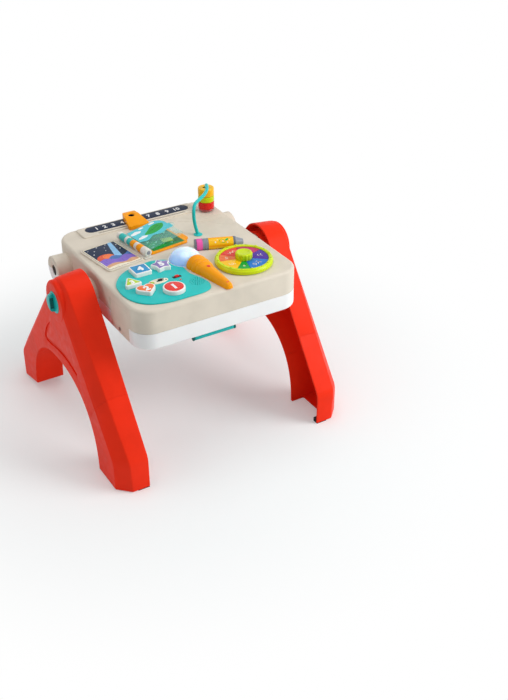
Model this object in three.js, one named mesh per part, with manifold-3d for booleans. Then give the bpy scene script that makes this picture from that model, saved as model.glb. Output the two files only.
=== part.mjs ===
// A toddler's musical activity table: a play unit on two arched legs, with a drawing board underneath.
// Millimetres. +X is the table's right, +Y its back, +Z up; the origin is on the floor below its middle.
import * as THREE from "three";
import { mergeVertices } from "three/addons/utils/BufferGeometryUtils.js";
import Module from "manifold-3d";

const wasm = await Module();
wasm.setup();

// Fits
const gap = 0.3;
const slack = 0.6;
const overrun = 4;
const thirdTurn = (2 * Math.PI) / 3;
const weldLength = 0.0005;

// Steps on curves
const roundSteps = 20;
const smallSteps = 8;
const cornerSteps = 4;
const edgeSteps = 2;
const archSteps = 16;
const hubSteps = 8;
const wheelSteps = 32;

// Table unit
const unitHalfX = 175;
const unitFrontY = -218;
const unitBackY = 165;
const unitCornerR = 40;
const unitBottomZ = 268;
const seamZ = 302;
const deckZ = 351;
const shellWall = 3;
const deckEdgeR = 6;
const bottomEdgeR = 4;
const postR = 5;
const postBoreR = 1.6;
const postPlaceShares = [[-0.86, 0.55], [0.86, 0.55], [0.86, -0.72], [-0.17, -0.91], [0, 0.62]];

// Hubs that carry the unit
const pivotY = -14;
const pivotZ = 303;
const rearBossY = 109;
const bossR = 29;
const bossReach = 12.6;
const lockBoreR = 11;
const lockPinR = 10.4;
const lockPinBite = 8.6;

// Legs
const legStandoff = 18;
const legDepth = 61;
const legWall = 3;
const legLift = 0.8;
const footHalfY = 262;
const kneeZ = 68;
const faceFrontDraw = 25;
const faceRearDraw = 29;
const faceKneeZ = 60;
const footShoulder = 25;
const hubShoulder = 14;
const footLength = 100;
const archTopZ = 165;
const archExponent = 2.3;
const hubInnerR = 56;
const hubInnerShiftY = -12;
const hubShoulderR = 49;
const hubShoulderShiftY = -8;
const hubFaceR = 24;
const hubFaceShiftY = 4;
const drumR = 43;
const drumRise = 1;
const drumChamfer = 3;
const hubEndThickness = 16;
const socketWall = 4;
const shinSeamDraw = 74;
const shinSeamZ = 173;
const limbLean = 0.62;
const tongueMiddle = 56;
const tongueReach = 26;
const tongueHalf = 15;
const tongueThickness = 3;
const shinBossR = 8;
const shinBossHeight = 14;
const shinBossOffset = 15;
const grooveWidth = 5;
const grooveDepth = 1.5;
const grooveShares = [
  [0.107, 0.777], [0.206, 0.678], [0.237, 0.615], [0.156, 0.615],
  [0.011, 0.635], [-0.145, 0.638], [-0.252, 0.622], [-0.359, 0.599],
];
const soleCutX = 29;
const soleCutR = 4;
const padLength = 24;
const padDepth = 10.7;
const padHeight = 9;
const padLip = 0.5;

// Hub locks
const knobR = 22;
const knobThickness = 4.5;
const knobRecess = 4;
const gripRise = 9;
const gripBackShift = 8;
const gripRidges = 4;
const springTurns = 4;
const springWireR = 0.8;
const springLength = 11;
const pinFlangeR = 15;
const pinFlangeThickness = 2.5;
const lockTravel = 9.5;

// Number track
const panelLeftX = -133;
const panelRightX = 128;
const panelFrontY = 114;
const panelBackY = 158;
const panelRise = 3;
const panelCornerR = 6;
const stripHalfX = 118;
const stripY = 141;
const stripHalfY = 13.5;
const stripThickness = 1.2;
const sliderX = -14;
const sliderFrontY = 102;
const sliderBackY = 156;
const sliderFrontHalf = 23;
const sliderBackHalf = 14;
const sliderHeight = 16;
const sliderNose = 8;
const sliderWindowR = 6.5;
const sliderLeft = 76;
const sliderRight = 106;
const slotY = 120;
const slotHalfY = 2;
const neckHalfX = 8;
const neckHalfY = 1.6;
const retainerHalfX = 14;
const retainerHalfY = 6;
const retainerThickness = 3;

// Picture book
const bookPlaceShares = [-0.371, 0.201];
const bookTurn = THREE.MathUtils.degToRad(8);
const cardLeftX = -88;
const cardRightX = -14;
const cardFrontY = -40;
const cardBackY = 62;
const cardRim = 4;
const cardBaseRise = 3.5;
const cardCornerR = 8;
const cardThickness = 1.2;
const spineFrontY = -43;
const spineBackY = 60;
const spinePinRise = 12;
const spineHalf = 9;
const spineBarThickness = 3;
const knuckleR = 7.6;
const pagePinR = 2;
const knuckleBoreR = 2.5;
const knuckleEndShares = [0, 0.184, 0.33, 0.417, 0.544, 0.66, 0.738, 0.922, 1];
const pageFarX = 102;
const pageFrontY = -35;
const pageBackY = 52;
const pageCornerR = 7;
const framePageThickness = 3.2;
const framePageRim = 6;
const frameTabReach = 10;
const frameTabFrontY = -23;
const frameTabBackY = 8;
const pictureThickness = 1.2;
const flipPageThickness = 2.4;
const flipPageRaise = THREE.MathUtils.degToRad(8);
const flipTabR = 9;
const flipTabY = 12;

// Light and its cone
const domePlaceShares = [-0.011, -0.243];
const domeR = 31;
const domeHeight = 25;
const domeWall = 2;
const domeBaseR = 34;
const domeBaseThickness = 2;
const flangeLip = 2;
const flangeThickness = 3;
const conePlaceShares = [0.029, -0.373];
const coneTurn = THREE.MathUtils.degToRad(4.8);
const coneLength = 122;
const coneSectionShares = [
  [0, 0.9, 0.9], [0.04, 1, 1], [0.13, 1, 1], [0.155, 0.93, 0.94], [0.18, 1, 0.99], [0.23, 0.97, 0.96],
  [0.255, 0.88, 0.9], [0.28, 0.94, 0.92], [0.33, 0.86, 0.86], [0.36, 0.78, 0.8], [0.62, 0.63, 0.68],
  [0.88, 0.47, 0.55], [0.96, 0.38, 0.44], [1, 0.2, 0.26],
];
const coneHalfWidth = 21.5;
const coneHeight = 22;
const coneWall = 2.4;
const ledR = 4;
const ledHeight = 6;
const lampBoardHalfX = 9;
const lampBoardHalfY = 38;

// Control plate, buttons and switches
const plateThickness = 2.7;
const plateBevel = 1;
const plateOutlineShares = [
  [-0.92, -0.373], [-0.8, -0.227], [-0.674, -0.154], [-0.486, -0.112], [-0.343, -0.102], [-0.206, -0.154],
  [-0.13, -0.279], [-0.12, -0.415], [-0.12, -0.54], [-0.075, -0.65], [-0.055, -0.723], [-0.045, -0.802],
  [-0.08, -0.89], [-0.171, -0.935], [-0.394, -0.944], [-0.611, -0.938], [-0.806, -0.875], [-0.909, -0.765],
  [-0.955, -0.608], [-0.95, -0.488],
];
const plateOutlineSteps = 44;
const buttonRise = 8;
const buttonBevel = 1.2;
const buttonPlaceShares = [
  [-0.446, -0.765], [-0.709, -0.676], [-0.783, -0.473], [-0.577, -0.269], [-0.331, -0.285],
];
const roundButtonR = 21;
const heartHalf = 19;
const triangleR = 22;
const squareHalf = 17.5;
const starR = 22;
const starWaistShare = 0.62;
const shapeCornerR = 4;
const starCornerR = 2.5;
const switchPlaceShares = [[-0.48, -0.528], [-0.286, -0.54]];
const switchHalfX = 4;
const switchHalfY = 2.6;
const switchRise = 3.4;
const switchTravel = 4;
const switchNeckHalf = 1.5;
const grillePlaceShare = [-0.149, -0.723];
const grilleHoleR = 1.2;
const grillePitch = 5.4;
const grilleSides = 6;
const grilleRings = 1;
const speakerR = 18;
const speakerDepth = 8;
const magnetR = 9;
const boardThickness = 1.6;
const boardDrop = 13.6;
const boardSpanShares = [[-0.87, -0.94], [-0.28, -0.2]];
const boardPostR = 3;
const boardPostShares = [[-0.845, -0.24], [-0.6, -0.906], [-0.303, -0.906], [-0.43, -0.46]];

// Pencil roller
const rollerPlaceShares = [0.474, -0.159];
const rollerTurn = THREE.MathUtils.degToRad(-21);
const rollerHalfLength = 49;
const rollerR = 12;
const rollerRise = 8;
const rollerAxleR = 2.5;
const rollerCap = 3.5;
const eraserEndShare = -0.44;
const barrelEndShare = 0.64;
const tipEndR = 5;
const eraserRibs = 6;
const ferruleRib = 0.6;

// Spinning wheel
const wheelConeGap = 7.5;
const wheelRollerGap = 26;
const wheelR = 57;
const wheelRimWidth = 9;
const wheelRise = 12;
const wheelFloor = 3;
const wheelDiscThickness = 5;
const wheelDiscSink = 2.2;
const wheelBoreR = 6;
const wheelAxleR = 4;
const wheelKnobR = 17;
const wheelKnobHeight = 12.5;
const wheelKnobTeeth = 14;
const wheelToothDepth = 1;

// Bead run
const rodFrontShares = [0.423, 0.206];
const rodBackShares = [0.846, 0.713];
const rodR = 3.5;
const rodTop = 62.5;
const rodBendR = 16;
const rodBulge = 7.5;
const rodSides = 10;
const rodSpanShares = [0.25, 0.5, 0.75];
const rodLegShares = [0, 0.33, 0.67, 1];
const rodFootR = 9;
const rodFootThickness = 2;
const beadR = 17;
const beadBoreR = 6.5;
const beadRestHeight = 2.4;
const beadHeightShares = [1, 0.625, 0.9];
const beadHeight = 20;
const beadEdgeR = 4;
const beadShift = 2;

// Batteries
const doorFrontY = -174;
const doorBackY = -95;
const doorBottomZ = 272;
const doorTopZ = 331;
const doorThickness = 2.7;
const doorScrewR = 3.4;
const doorScrewRise = 1.2;
const doorScrewShankR = 1.4;
const cellR = 7.25;
const cellLength = 50.5;
const cellNippleR = 2.7;
const cellNipple = 1.2;
const boxWall = 1.5;
const boxHeight = 20;
const cellCount = 3;

// Drawing side
const drawHalfX = 148;
const drawFrontY = -186;
const drawBackY = 142;
const drawThickness = 2.3;
const drawCornerR = 12;
const drawGrooveX = 134;
const drawGrooveWidth = 3;
const drawGrooveDepth = 1;
const clipLeftX = -53;
const clipRightX = 31;
const clipPinY = -197;
const clipPinZ = 258.5;
const clipPinR = 1.6;
const clipBarrelR = 3.4;
const clipReach = 50;
const clipThickness = 2.4;
const clipSpringHalf = 8;
const clipSpringTurns = 5;
const clipWireR = 0.5;
const clipLever = 6;
const lugThickness = 4;
const trayHalfX = 105;
const trayDepth = 50;
const trayBottomZ = 275;
const trayTopZ = 321;
const trayWall = 2.5;
const trayCornerR = 24;

// Places worked out from the sizes above
const unitMidY = (unitFrontY + unitBackY) / 2;
const unitHalfY = (unitBackY - unitFrontY) / 2;
const ceilingZ = deckZ - shellWall;
const throughDeck = [ceilingZ - overrun, deckZ + overrun];
const legInnerX = unitHalfX + legStandoff;
const legFaceX = legInnerX + legDepth;
const bossEndX = legInnerX + bossReach;
const archHalfY = footHalfY - footLength;
const faceFrontY = -footHalfY + faceFrontDraw;
const faceRearY = footHalfY - faceRearDraw;
const shinSeamY = -footHalfY + shinSeamDraw;
const drumFaceX = legFaceX + drumRise;
const hubEndX = drumFaceX - hubEndThickness;
const panelTopZ = deckZ + panelRise;
const plateZ = deckZ + gap;
const plateTopZ = plateZ + plateThickness;
const boardTopZ = deckZ - boardDrop;
const spinePinZ = deckZ + spinePinRise;

// Finishes
function finish(color, roughness, metalness = 0) {
  return new THREE.MeshStandardMaterial({ color, roughness, metalness });
}

const red = finish(0xf5341f, 0.5);
const teal = finish(0x1fc4c0, 0.4);
const beige = finish(0xddd3c3, 0.5);
const white = finish(0xf2f2f2, 0.45);
const orange = finish(0xff9c10, 0.4);
const lime = finish(0xc9e000, 0.4);
const navy = finish(0x22304a, 0.4);
const paleBlue = finish(0xbfe4ff, 0.15);
const purple = finish(0x8a6bb5, 0.4);
const blue = finish(0x2392c4, 0.4);
const green = finish(0x1d8f2e, 0.4);
const pink = finish(0xe055a0, 0.5);
const black = finish(0x202224, 0.7);
const boardGreen = finish(0x1b5e3a, 0.6);
const steel = finish(0xb8bcc0, 0.3, 1);

// Solids

// Merges a closed geometry's shared vertices and makes it a solid.
function toSolid(geometry) {
  const bare = geometry.index ? geometry.toNonIndexed() : geometry.clone();
  bare.deleteAttribute("normal");
  bare.deleteAttribute("uv");
  const merged = mergeVertices(bare, weldLength);
  const corners = merged.index.array;
  const kept = [];
  for (let i = 0; i < corners.length; i += 3) {
    const [a, b, c] = corners.slice(i, i + 3);
    if (a !== b && b !== c && c !== a) kept.push(a, b, c);
  }
  const vertProperties = merged.attributes.position.array;
  return new wasm.Manifold(new wasm.Mesh({ numProp: 3, vertProperties, triVerts: new Uint32Array(kept) }));
}

const asSolid = (shape) => (shape.isBufferGeometry ? toSolid(shape) : shape);
const join = (...shapes) => shapes.map(asSolid).reduce((sum, shape) => sum.add(shape));
const cut = (body, ...cutters) =>
  cutters.map(asSolid).reduce((rest, shape) => rest.subtract(shape), asSolid(body));
const common = (a, b) => asSolid(a).intersect(asSolid(b));

// Gives a solid back as a geometry.
function toGeometry(shape) {
  const mesh = asSolid(shape).getMesh();
  const positions = new Float32Array(mesh.numVert * mesh.numProp);
  for (let i = 0; i < positions.length; i++) positions[i] = mesh.vertProperties[i];
  const geometry = new THREE.BufferGeometry();
  geometry.setAttribute("position", new THREE.BufferAttribute(positions, mesh.numProp));
  geometry.setIndex(new THREE.BufferAttribute(new Uint32Array(mesh.triVerts), 1));
  geometry.computeVertexNormals();
  return geometry;
}

// Mirrors a geometry across the plane X = 0 and turns its faces out again.
function mirrored(geometry) {
  const copy = geometry.clone();
  const { array } = copy.attributes.position;
  for (let i = 0; i < array.length; i += 3) array[i] = -array[i];
  const { index } = copy;
  for (let i = 0; i < index.count; i += 3) {
    const second = index.getX(i + 1);
    index.setX(i + 1, index.getX(i + 2));
    index.setX(i + 2, second);
  }
  copy.computeVertexNormals();
  return copy;
}

// Turns the extrusion's own frame (outline in XY, depth along Z) to an axis of the table.
const axisFrames = {
  x: new THREE.Matrix4().makeBasis(
    new THREE.Vector3(0, 1, 0),
    new THREE.Vector3(0, 0, 1),
    new THREE.Vector3(1, 0, 0),
  ),
  y: new THREE.Matrix4().makeBasis(
    new THREE.Vector3(-1, 0, 0),
    new THREE.Vector3(0, 0, 1),
    new THREE.Vector3(0, 1, 0),
  ),
  z: new THREE.Matrix4(),
};

// Extrudes an outline along an axis. Along x it holds (y, z), along y it holds (-x, z), along z (x, y).
function prism(outline, axis, from, to) {
  const shape = new THREE.Shape(outline);
  const geometry = new THREE.ExtrudeGeometry(shape, { depth: to - from, bevelEnabled: false });
  return geometry.translate(0, 0, from).applyMatrix4(axisFrames[axis]);
}

function box(x, y, z) {
  const geometry = new THREE.BoxGeometry(x[1] - x[0], y[1] - y[0], z[1] - z[0]);
  return geometry.translate((x[0] + x[1]) / 2, (y[0] + y[1]) / 2, (z[0] + z[1]) / 2);
}

// Turns a profile of [radius, height] pairs about the axis through a centre, given in the axis's own plane.
function turned(profile, axis = "z", centre = [0, 0], steps = roundSteps) {
  const points = profile.map(([radius, height]) => new THREE.Vector2(radius, height));
  const geometry = new THREE.LatheGeometry(points, steps);
  geometry.rotateX(Math.PI / 2);
  return geometry.translate(centre[0], centre[1], 0).applyMatrix4(axisFrames[axis]);
}

function rod(axis, centre, radius, from, to, steps = roundSteps) {
  return turned([[0, from], [radius, from], [radius, to], [0, to]], axis, centre, steps);
}

// Ways to close a ring: by its plan, seen along the loft, or as a fan where the ring is convex.
const planCap = (flatten) => (ring) => THREE.ShapeUtils.triangulateShape(ring.map(flatten), []);
const fanCap = (ring) => ring.slice(2).map((corner, i) => [0, i + 1, i + 2]);

// Joins rings of 3-D points, all with the same count and counter-clockwise seen from ahead, into a solid.
function loft(rings, capOf) {
  const count = rings[0].length;
  const faces = [];
  for (let ring = 0; ring + 1 < rings.length; ring++) {
    for (let i = 0; i < count; i++) {
      const a = ring * count + i;
      const b = ring * count + ((i + 1) % count);
      faces.push(a, b, b + count, a, b + count, a + count);
    }
  }
  const last = rings.length - 1;
  for (const [a, b, c] of capOf(rings[0])) faces.push(c, b, a);
  for (const corners of capOf(rings[last])) faces.push(...corners.map((i) => i + last * count));
  const geometry = new THREE.BufferGeometry();
  const positions = rings.flat().flatMap((p) => [p.x, p.y, p.z]);
  geometry.setAttribute("position", new THREE.Float32BufferAttribute(positions, 3));
  geometry.setIndex(faces);
  return geometry;
}

// Stacks outlines, each with its height, into a solid along Z.
function stack(levels) {
  const rings = levels.map(([outline, z]) => outline.map((p) => new THREE.Vector3(p.x, p.y, z)));
  return loft(rings, planCap((p) => new THREE.Vector2(p.x, p.y)));
}

// Outlines, all counter-clockwise

const point = (x, y) => new THREE.Vector2(x, y);
const onDeck = ([shareX, shareY]) => point(shareX * unitHalfX, unitMidY + shareY * unitHalfY);

function arc(x, y, radius, from, to, steps) {
  const points = [];
  for (let i = 0; i <= steps; i++) {
    const angle = from + ((to - from) * i) / steps;
    points.push(point(x + radius * Math.cos(angle), y + radius * Math.sin(angle)));
  }
  return points;
}

const circle = (x, y, radius, steps = roundSteps) => arc(x, y, radius, 0, 2 * Math.PI, steps).slice(0, -1);

function roundedRect(x, y, radius, steps = cornerSteps) {
  const quarter = Math.PI / 2;
  return [
    ...arc(x[1] - radius, y[1] - radius, radius, 0, quarter, steps),
    ...arc(x[0] + radius, y[1] - radius, radius, quarter, 2 * quarter, steps),
    ...arc(x[0] + radius, y[0] + radius, radius, 2 * quarter, 3 * quarter, steps),
    ...arc(x[1] - radius, y[0] + radius, radius, 3 * quarter, 4 * quarter, steps),
  ];
}

// Rounds each outward corner of a polygon.
function roundedPolygon(corners, radius, steps) {
  return corners.flatMap((corner, i) => {
    const before = corners.at(i - 1).clone().sub(corner).normalize();
    const after = corners[(i + 1) % corners.length].clone().sub(corner).normalize();
    if (after.cross(before) <= 0) return [corner];
    const half = Math.acos(before.dot(after)) / 2;
    const middle = before.clone().add(after).normalize();
    const centre = corner.clone().addScaledVector(middle, radius / Math.sin(half));
    const facing = Math.atan2(-middle.y, -middle.x);
    const spread = Math.PI / 2 - half;
    return arc(centre.x, centre.y, radius, facing - spread, facing + spread, steps);
  });
}

// Moves an outline inwards by a distance, or outwards by a negative one.
function inset(outline, distance) {
  return outline.map((corner, i) => {
    const before = corner.clone().sub(outline.at(i - 1)).normalize();
    const after = outline[(i + 1) % outline.length].clone().sub(corner).normalize();
    const inward = point(-before.y - after.y, before.x + after.x).normalize();
    const shrink = inward.x * -before.y + inward.y * before.x;
    return corner.clone().addScaledVector(inward, distance / shrink);
  });
}

// Levels of a rounded top edge, from the full outline to the outline drawn in by the edge's radius.
function roundedEdge(outlineAt, z, radius) {
  const levels = [];
  for (let i = 0; i <= edgeSteps; i++) {
    const angle = ((Math.PI / 2) * i) / edgeSteps;
    levels.push([outlineAt(radius * (1 - Math.cos(angle))), z - radius * (1 - Math.sin(angle))]);
  }
  return levels;
}

// A wire wound about an axis, as one tube: the points come from the helix's formula.
function spring(coilR, wireR, turns, length, steps = 8) {
  class Helix extends THREE.Curve {
    getPoint(t) {
      const angle = 2 * Math.PI * turns * t;
      return new THREE.Vector3(coilR * Math.cos(angle), coilR * Math.sin(angle), length * t);
    }
  }
  const options = { steps: turns * steps, bevelEnabled: false, extrudePath: new Helix() };
  return new THREE.ExtrudeGeometry(new THREE.Shape(circle(0, 0, wireR, cornerSteps)), options);
}

const table = new THREE.Group();
const unit = new THREE.Group();
table.add(unit);

function node(name, shape, material, parent = unit) {
  const mesh = new THREE.Mesh(toGeometry(shape), material);
  mesh.name = name;
  parent.add(mesh);
}

function turnedGroup(place, angle) {
  const group = new THREE.Group();
  group.position.set(place.x, place.y, 0);
  group.rotation.z = angle;
  unit.add(group);
  return group;
}

// Puts a geometry that was made in a turned group's frame into the unit's frame.
function inUnit(geometry, place, angle) {
  return geometry.rotateZ(angle).translate(place.x, place.y, 0);
}

// Legs

// One outline of a leg in (y, z): two feet, the arch between them and the hub above.
function legOutline(frontY, rearY, hipZ, hubY, hubR) {
  const hub = point(hubY, pivotZ);
  const tangent = (y, side) => {
    const knee = point(y, hipZ).sub(hub);
    return Math.atan2(knee.y, knee.x) + side * Math.acos(hubR / knee.length());
  };
  const rearAngle = tangent(rearY, 1);
  const frontAngle = tangent(frontY, -1) + 2 * Math.PI;
  const outline = [point(rearY, legLift), point(rearY, hipZ)];
  outline.push(...arc(hub.x, hub.y, hubR, rearAngle, frontAngle, hubSteps));
  outline.push(point(frontY, hipZ), point(frontY, legLift));
  for (let i = 0; i <= archSteps; i++) {
    const angle = (Math.PI * i) / archSteps;
    const y = -Math.sign(Math.cos(angle)) * archHalfY * Math.abs(Math.cos(angle)) ** (2 / archExponent);
    outline.push(point(y, legLift + (archTopZ - legLift) * Math.sin(angle) ** (2 / archExponent)));
  }
  return outline;
}

const innerOutline = legOutline(-footHalfY, footHalfY, kneeZ, pivotY + hubInnerShiftY, hubInnerR);
const shoulderOutline = legOutline(-footHalfY, footHalfY, kneeZ, pivotY + hubShoulderShiftY, hubShoulderR);
const faceOutline = legOutline(faceFrontY, faceRearY, faceKneeZ, pivotY + hubFaceShiftY, hubFaceR);

// The leg's body, or the hollow in it when it is drawn in by a wall.
function legBody(wall) {
  const ring = (outline, xAt) => inset(outline, wall).map((p) => new THREE.Vector3(xAt(p.y), p.x, p.y));
  const shoulderX = (z) => legFaceX - wall - THREE.MathUtils.lerp(footShoulder, hubShoulder, z / pivotZ);
  const openX = wall > 0 ? legInnerX - overrun : legInnerX;
  const rings = [
    ring(innerOutline, () => openX),
    ring(shoulderOutline, shoulderX),
    ring(faceOutline, () => legFaceX - wall),
  ];
  return loft(rings, planCap((p) => point(p.y, p.z)));
}

// The side of the shin's seam plane that lies towards the floor, moved up by a shift.
function belowSeam(shift) {
  const along = point(Math.sin(limbLean), -Math.cos(limbLean));
  const across = point(Math.cos(limbLean), Math.sin(limbLean));
  const seam = point(shinSeamY, shinSeamZ).addScaledVector(across, shift);
  const reach = footHalfY;
  const corners = [
    seam.clone().addScaledVector(along, reach),
    seam.clone().addScaledVector(along, -reach),
    seam.clone().addScaledVector(along, -reach).addScaledVector(across, -reach),
    seam.clone().addScaledVector(along, reach).addScaledVector(across, -reach),
  ];
  const half = prism(corners, "x", legInnerX - overrun, legFaceX + overrun);
  const frontSide = box(
    [legInnerX - overrun, legFaceX + overrun],
    [-footHalfY - overrun, -archHalfY / 2],
    [-overrun, pivotZ],
  );
  return common(half, frontSide);
}

// A point near the seam: along is down the seam line, across is up the limb.
function atSeam(along, across) {
  const place = point(shinSeamY, shinSeamZ);
  place.addScaledVector(point(Math.sin(limbLean), -Math.cos(limbLean)), along);
  return place.addScaledVector(point(Math.cos(limbLean), Math.sin(limbLean)), across);
}

// The inner ends of the two feet, where the sole is open.
function soleCut(side) {
  const y = [side * (archHalfY + 2 * legWall), side * (footHalfY - legWall)].sort((a, b) => a - b);
  const outline = roundedRect([legInnerX - soleCutX, legInnerX + soleCutX], y, soleCutR);
  return prism(outline, "z", -overrun, legWall + overrun);
}

function groove() {
  const places = grooveShares.map(([shareY, shareZ]) => point(shareY * footHalfY, shareZ * pivotZ));
  const curve = new THREE.SplineCurve(places).getPoints(2 * hubSteps);
  const left = curve.map((p, i) => {
    const next = curve[Math.min(i + 1, curve.length - 1)];
    const along = next.clone().sub(curve[Math.max(i - 1, 0)]).normalize();
    return p.clone().addScaledVector(point(-along.y, along.x), grooveWidth / 2);
  });
  const right = curve.map((p, i) => p.clone().multiplyScalar(2).sub(left[i]));
  return prism([...left, ...right.reverse()], "x", legFaceX - grooveDepth, legFaceX + overrun);
}

function hubEnd() {
  const outer = [
    [0, hubEndX],
    [drumR, hubEndX],
    [drumR, drumFaceX - drumChamfer],
    [drumR - drumChamfer, drumFaceX],
    [0, drumFaceX],
  ];
  const socket = [
    [bossR + slack, legInnerX + gap],
    [bossR + slack + socketWall, legInnerX + gap],
    [bossR + slack + socketWall, hubEndX + gap],
    [bossR + slack, hubEndX + gap],
    [bossR + slack, legInnerX + gap],
  ];
  return join(turned(outer, "x", [pivotY, pivotZ]), turned(socket, "x", [pivotY, pivotZ]));
}

function legShell() {
  const channel = cut(legBody(0), legBody(legWall));
  const recess = rod("x", [pivotY, pivotZ], knobR + slack, drumFaceX - knobRecess, drumFaceX + overrun);
  const bore = rod("x", [pivotY, pivotZ], lockPinR + slack / 2, hubEndX - overrun, drumFaceX, smallSteps * 2);
  const throat = rod("x", [pivotY, pivotZ], bossR + slack, legInnerX - overrun, hubEndX);
  return cut(join(cut(channel, throat), hubEnd()), recess, bore, groove(), soleCut(1), soleCut(-1));
}

const hollowX = legFaceX - legWall;

function shinBoss() {
  const { x, y } = atSeam(tongueMiddle, shinBossOffset);
  const post = rod("x", [x, y], shinBossR, hollowX - shinBossHeight, hollowX + legWall / 2, smallSteps);
  return cut(post, rod("x", [x, y], postBoreR, hollowX - shinBossHeight - overrun, hollowX, smallSteps));
}

// The plate on the shin that laps behind the frame's wall, with a hole round the frame's boss.
function shinTongue() {
  const { x, y } = atSeam(tongueMiddle, shinBossOffset);
  const outline = [
    atSeam(tongueMiddle - tongueHalf, -tongueHalf),
    atSeam(tongueMiddle + tongueHalf, -tongueHalf),
    atSeam(tongueMiddle + tongueHalf, tongueReach),
    atSeam(tongueMiddle - tongueHalf, tongueReach),
  ];
  const plate = prism(outline, "x", hollowX - gap - tongueThickness, hollowX - gap);
  const root = prism(outline, "x", hollowX - tongueThickness, hollowX + legWall / 2);
  const hole = rod("x", [x, y], shinBossR + gap, hollowX - shinBossHeight, hollowX + overrun, smallSteps);
  return join(cut(plate, hole), common(root, belowSeam(-slack)));
}

function footPad(side) {
  const y = (reach) => [side * (footHalfY - reach[0]), side * (footHalfY - reach[1])].sort((a, b) => a - b);
  const x = [legInnerX + gap, legInnerX + gap + padLength];
  const inside = legWall + gap;
  const block = box(x, y([inside, inside + padDepth]), [0, padHeight]);
  return join(block, box(x, y([gap, inside + padDepth]), [0, padLip]));
}

function lockKnob() {
  const disc = [
    [0, drumFaceX - knobRecess + gap],
    [knobR, drumFaceX - knobRecess + gap],
    [knobR, drumFaceX - knobRecess + gap + knobThickness - gap],
    [knobR - 2 * gap, drumFaceX - knobRecess + gap + knobThickness],
    [0, drumFaceX - knobRecess + gap + knobThickness],
  ];
  const faceX = drumFaceX - knobRecess + gap + knobThickness;
  const pinEndX = bossEndX - lockPinBite;
  const flangeX = hubEndX - springLength - lockTravel - gap - pinFlangeThickness;
  const pin = rod("x", [pivotY, pivotZ], lockPinR, pinEndX, faceX - gap, smallSteps * 2);
  const flange = rod(
    "x",
    [pivotY, pivotZ],
    pinFlangeR,
    flangeX,
    flangeX + pinFlangeThickness,
    smallSteps * 2,
  );
  return join(turned(disc, "x", [pivotY, pivotZ]), pin, flange, knobGrip(faceX));
}

// The half dome on the knob's rear half, with ridges for the fingers.
function knobGrip(faceX) {
  const levels = roundedEdge(
    (draw) => circle(pivotY, pivotZ, knobR - 2 * gap - draw),
    faceX + gripRise,
    gripRise,
  );
  const dome = levels.map(([outline, x]) => outline.map((p) => new THREE.Vector3(x, p.x, p.y)));
  const keep = [pivotY - knobR + gripBackShift, pivotY + knobR];
  const tall = [pivotZ - knobR, pivotZ + knobR];
  const half = common(loft(dome, fanCap), box([faceX - gap, faceX + gripRise], keep, tall));
  const pitch = (keep[1] - keep[0]) / (gripRidges + 1);
  const cutters = [];
  for (let i = 1; i <= gripRidges; i++) {
    const middle = keep[0] + i * pitch;
    cutters.push(
      box([faceX + gripRise / 2, faceX + gripRise + overrun], [middle - slack, middle + slack], tall),
    );
  }
  return cut(half, ...cutters);
}

function lockSpring() {
  const coil = spring(
    lockPinR + gap + 2 * springWireR,
    springWireR,
    springTurns,
    springLength - 2 * springWireR,
  );
  coil.translate(pivotY, pivotZ, hubEndX - gap - springLength + springWireR);
  return coil.applyMatrix4(axisFrames.x);
}

function buildLegs() {
  const shell = legShell();
  const pieces = [
    ["leg_frame", join(cut(shell, belowSeam(gap / 2)), shinBoss()), red],
    ["leg_shin", join(common(shell, belowSeam(-gap / 2)), shinTongue()), red],
    ["foot_pad_front", footPad(-1), black],
    ["foot_pad_rear", footPad(1), black],
    ["lock_knob", lockKnob(), teal],
    ["lock_spring", lockSpring(), steel],
  ];
  for (const [name, solid, material] of pieces) {
    const geometry = toGeometry(solid);
    node("right_" + name, geometry, material, table);
    node("left_" + name, mirrored(geometry), material, table);
  }
}

// Unit shells

const unitOutline = (draw) =>
  roundedRect(
    [-unitHalfX + draw, unitHalfX - draw],
    [unitFrontY + draw, unitBackY - draw],
    unitCornerR - draw,
    2 * cornerSteps,
  );

// The hub bosses on both sides, or the hollows in them when drawn in by a wall.
function bosses(wall) {
  const shapes = [];
  for (const y of [pivotY, rearBossY]) {
    const outer = [bossR - wall, unitHalfX - shellWall / 2 + wall, bossEndX - wall];
    shapes.push(turnedBoss(y, ...outer), mirrored(turnedBoss(y, ...outer)));
  }
  return shapes;
}

function turnedBoss(y, radius, from, to) {
  return rod("x", [y, pivotZ], radius, from, to);
}

function lockBores() {
  const bores = [];
  for (const y of [pivotY, rearBossY]) {
    const bore = rod(
      "x",
      [y, pivotZ],
      lockBoreR,
      bossEndX - 2 * shellWall,
      bossEndX + overrun,
      2 * smallSteps,
    );
    bores.push(bore, mirrored(bore));
  }
  return bores;
}

const beyond = unitHalfX + unitBackY;

// Everything above or below the seam, with half a gap left at it.
function seamHalf(upper) {
  const z = upper ? [seamZ + gap / 2, deckZ + beyond] : [-beyond, seamZ - gap / 2];
  return box([-beyond, beyond], [-beyond, beyond], z);
}

function posts(upper) {
  const upperZ = [seamZ - overrun, ceilingZ + shellWall / 2];
  const z = upper ? upperZ : [unitBottomZ + shellWall / 2, seamZ + overrun];
  const boreZ = upper ? [seamZ - 2 * overrun, ceilingZ] : [unitBottomZ + 2 * shellWall, seamZ + 2 * overrun];
  return postPlaceShares.map((share) => {
    const { x, y } = onDeck(share);
    const post = rod("z", [x, y], postR, ...z, smallSteps);
    return cut(post, rod("z", [x, y], postBoreR, ...boreZ, smallSteps / 2));
  });
}

function boardPosts() {
  return boardPostShares.map((share) => {
    const { x, y } = onDeck(share);
    return rod("z", [x, y], boardPostR, boardTopZ + gap, ceilingZ + shellWall / 2, smallSteps);
  });
}

const panelOutline = roundedRect([panelLeftX, panelRightX], [panelFrontY, panelBackY], panelCornerR);
const bookPlace = onDeck(bookPlaceShares);

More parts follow.
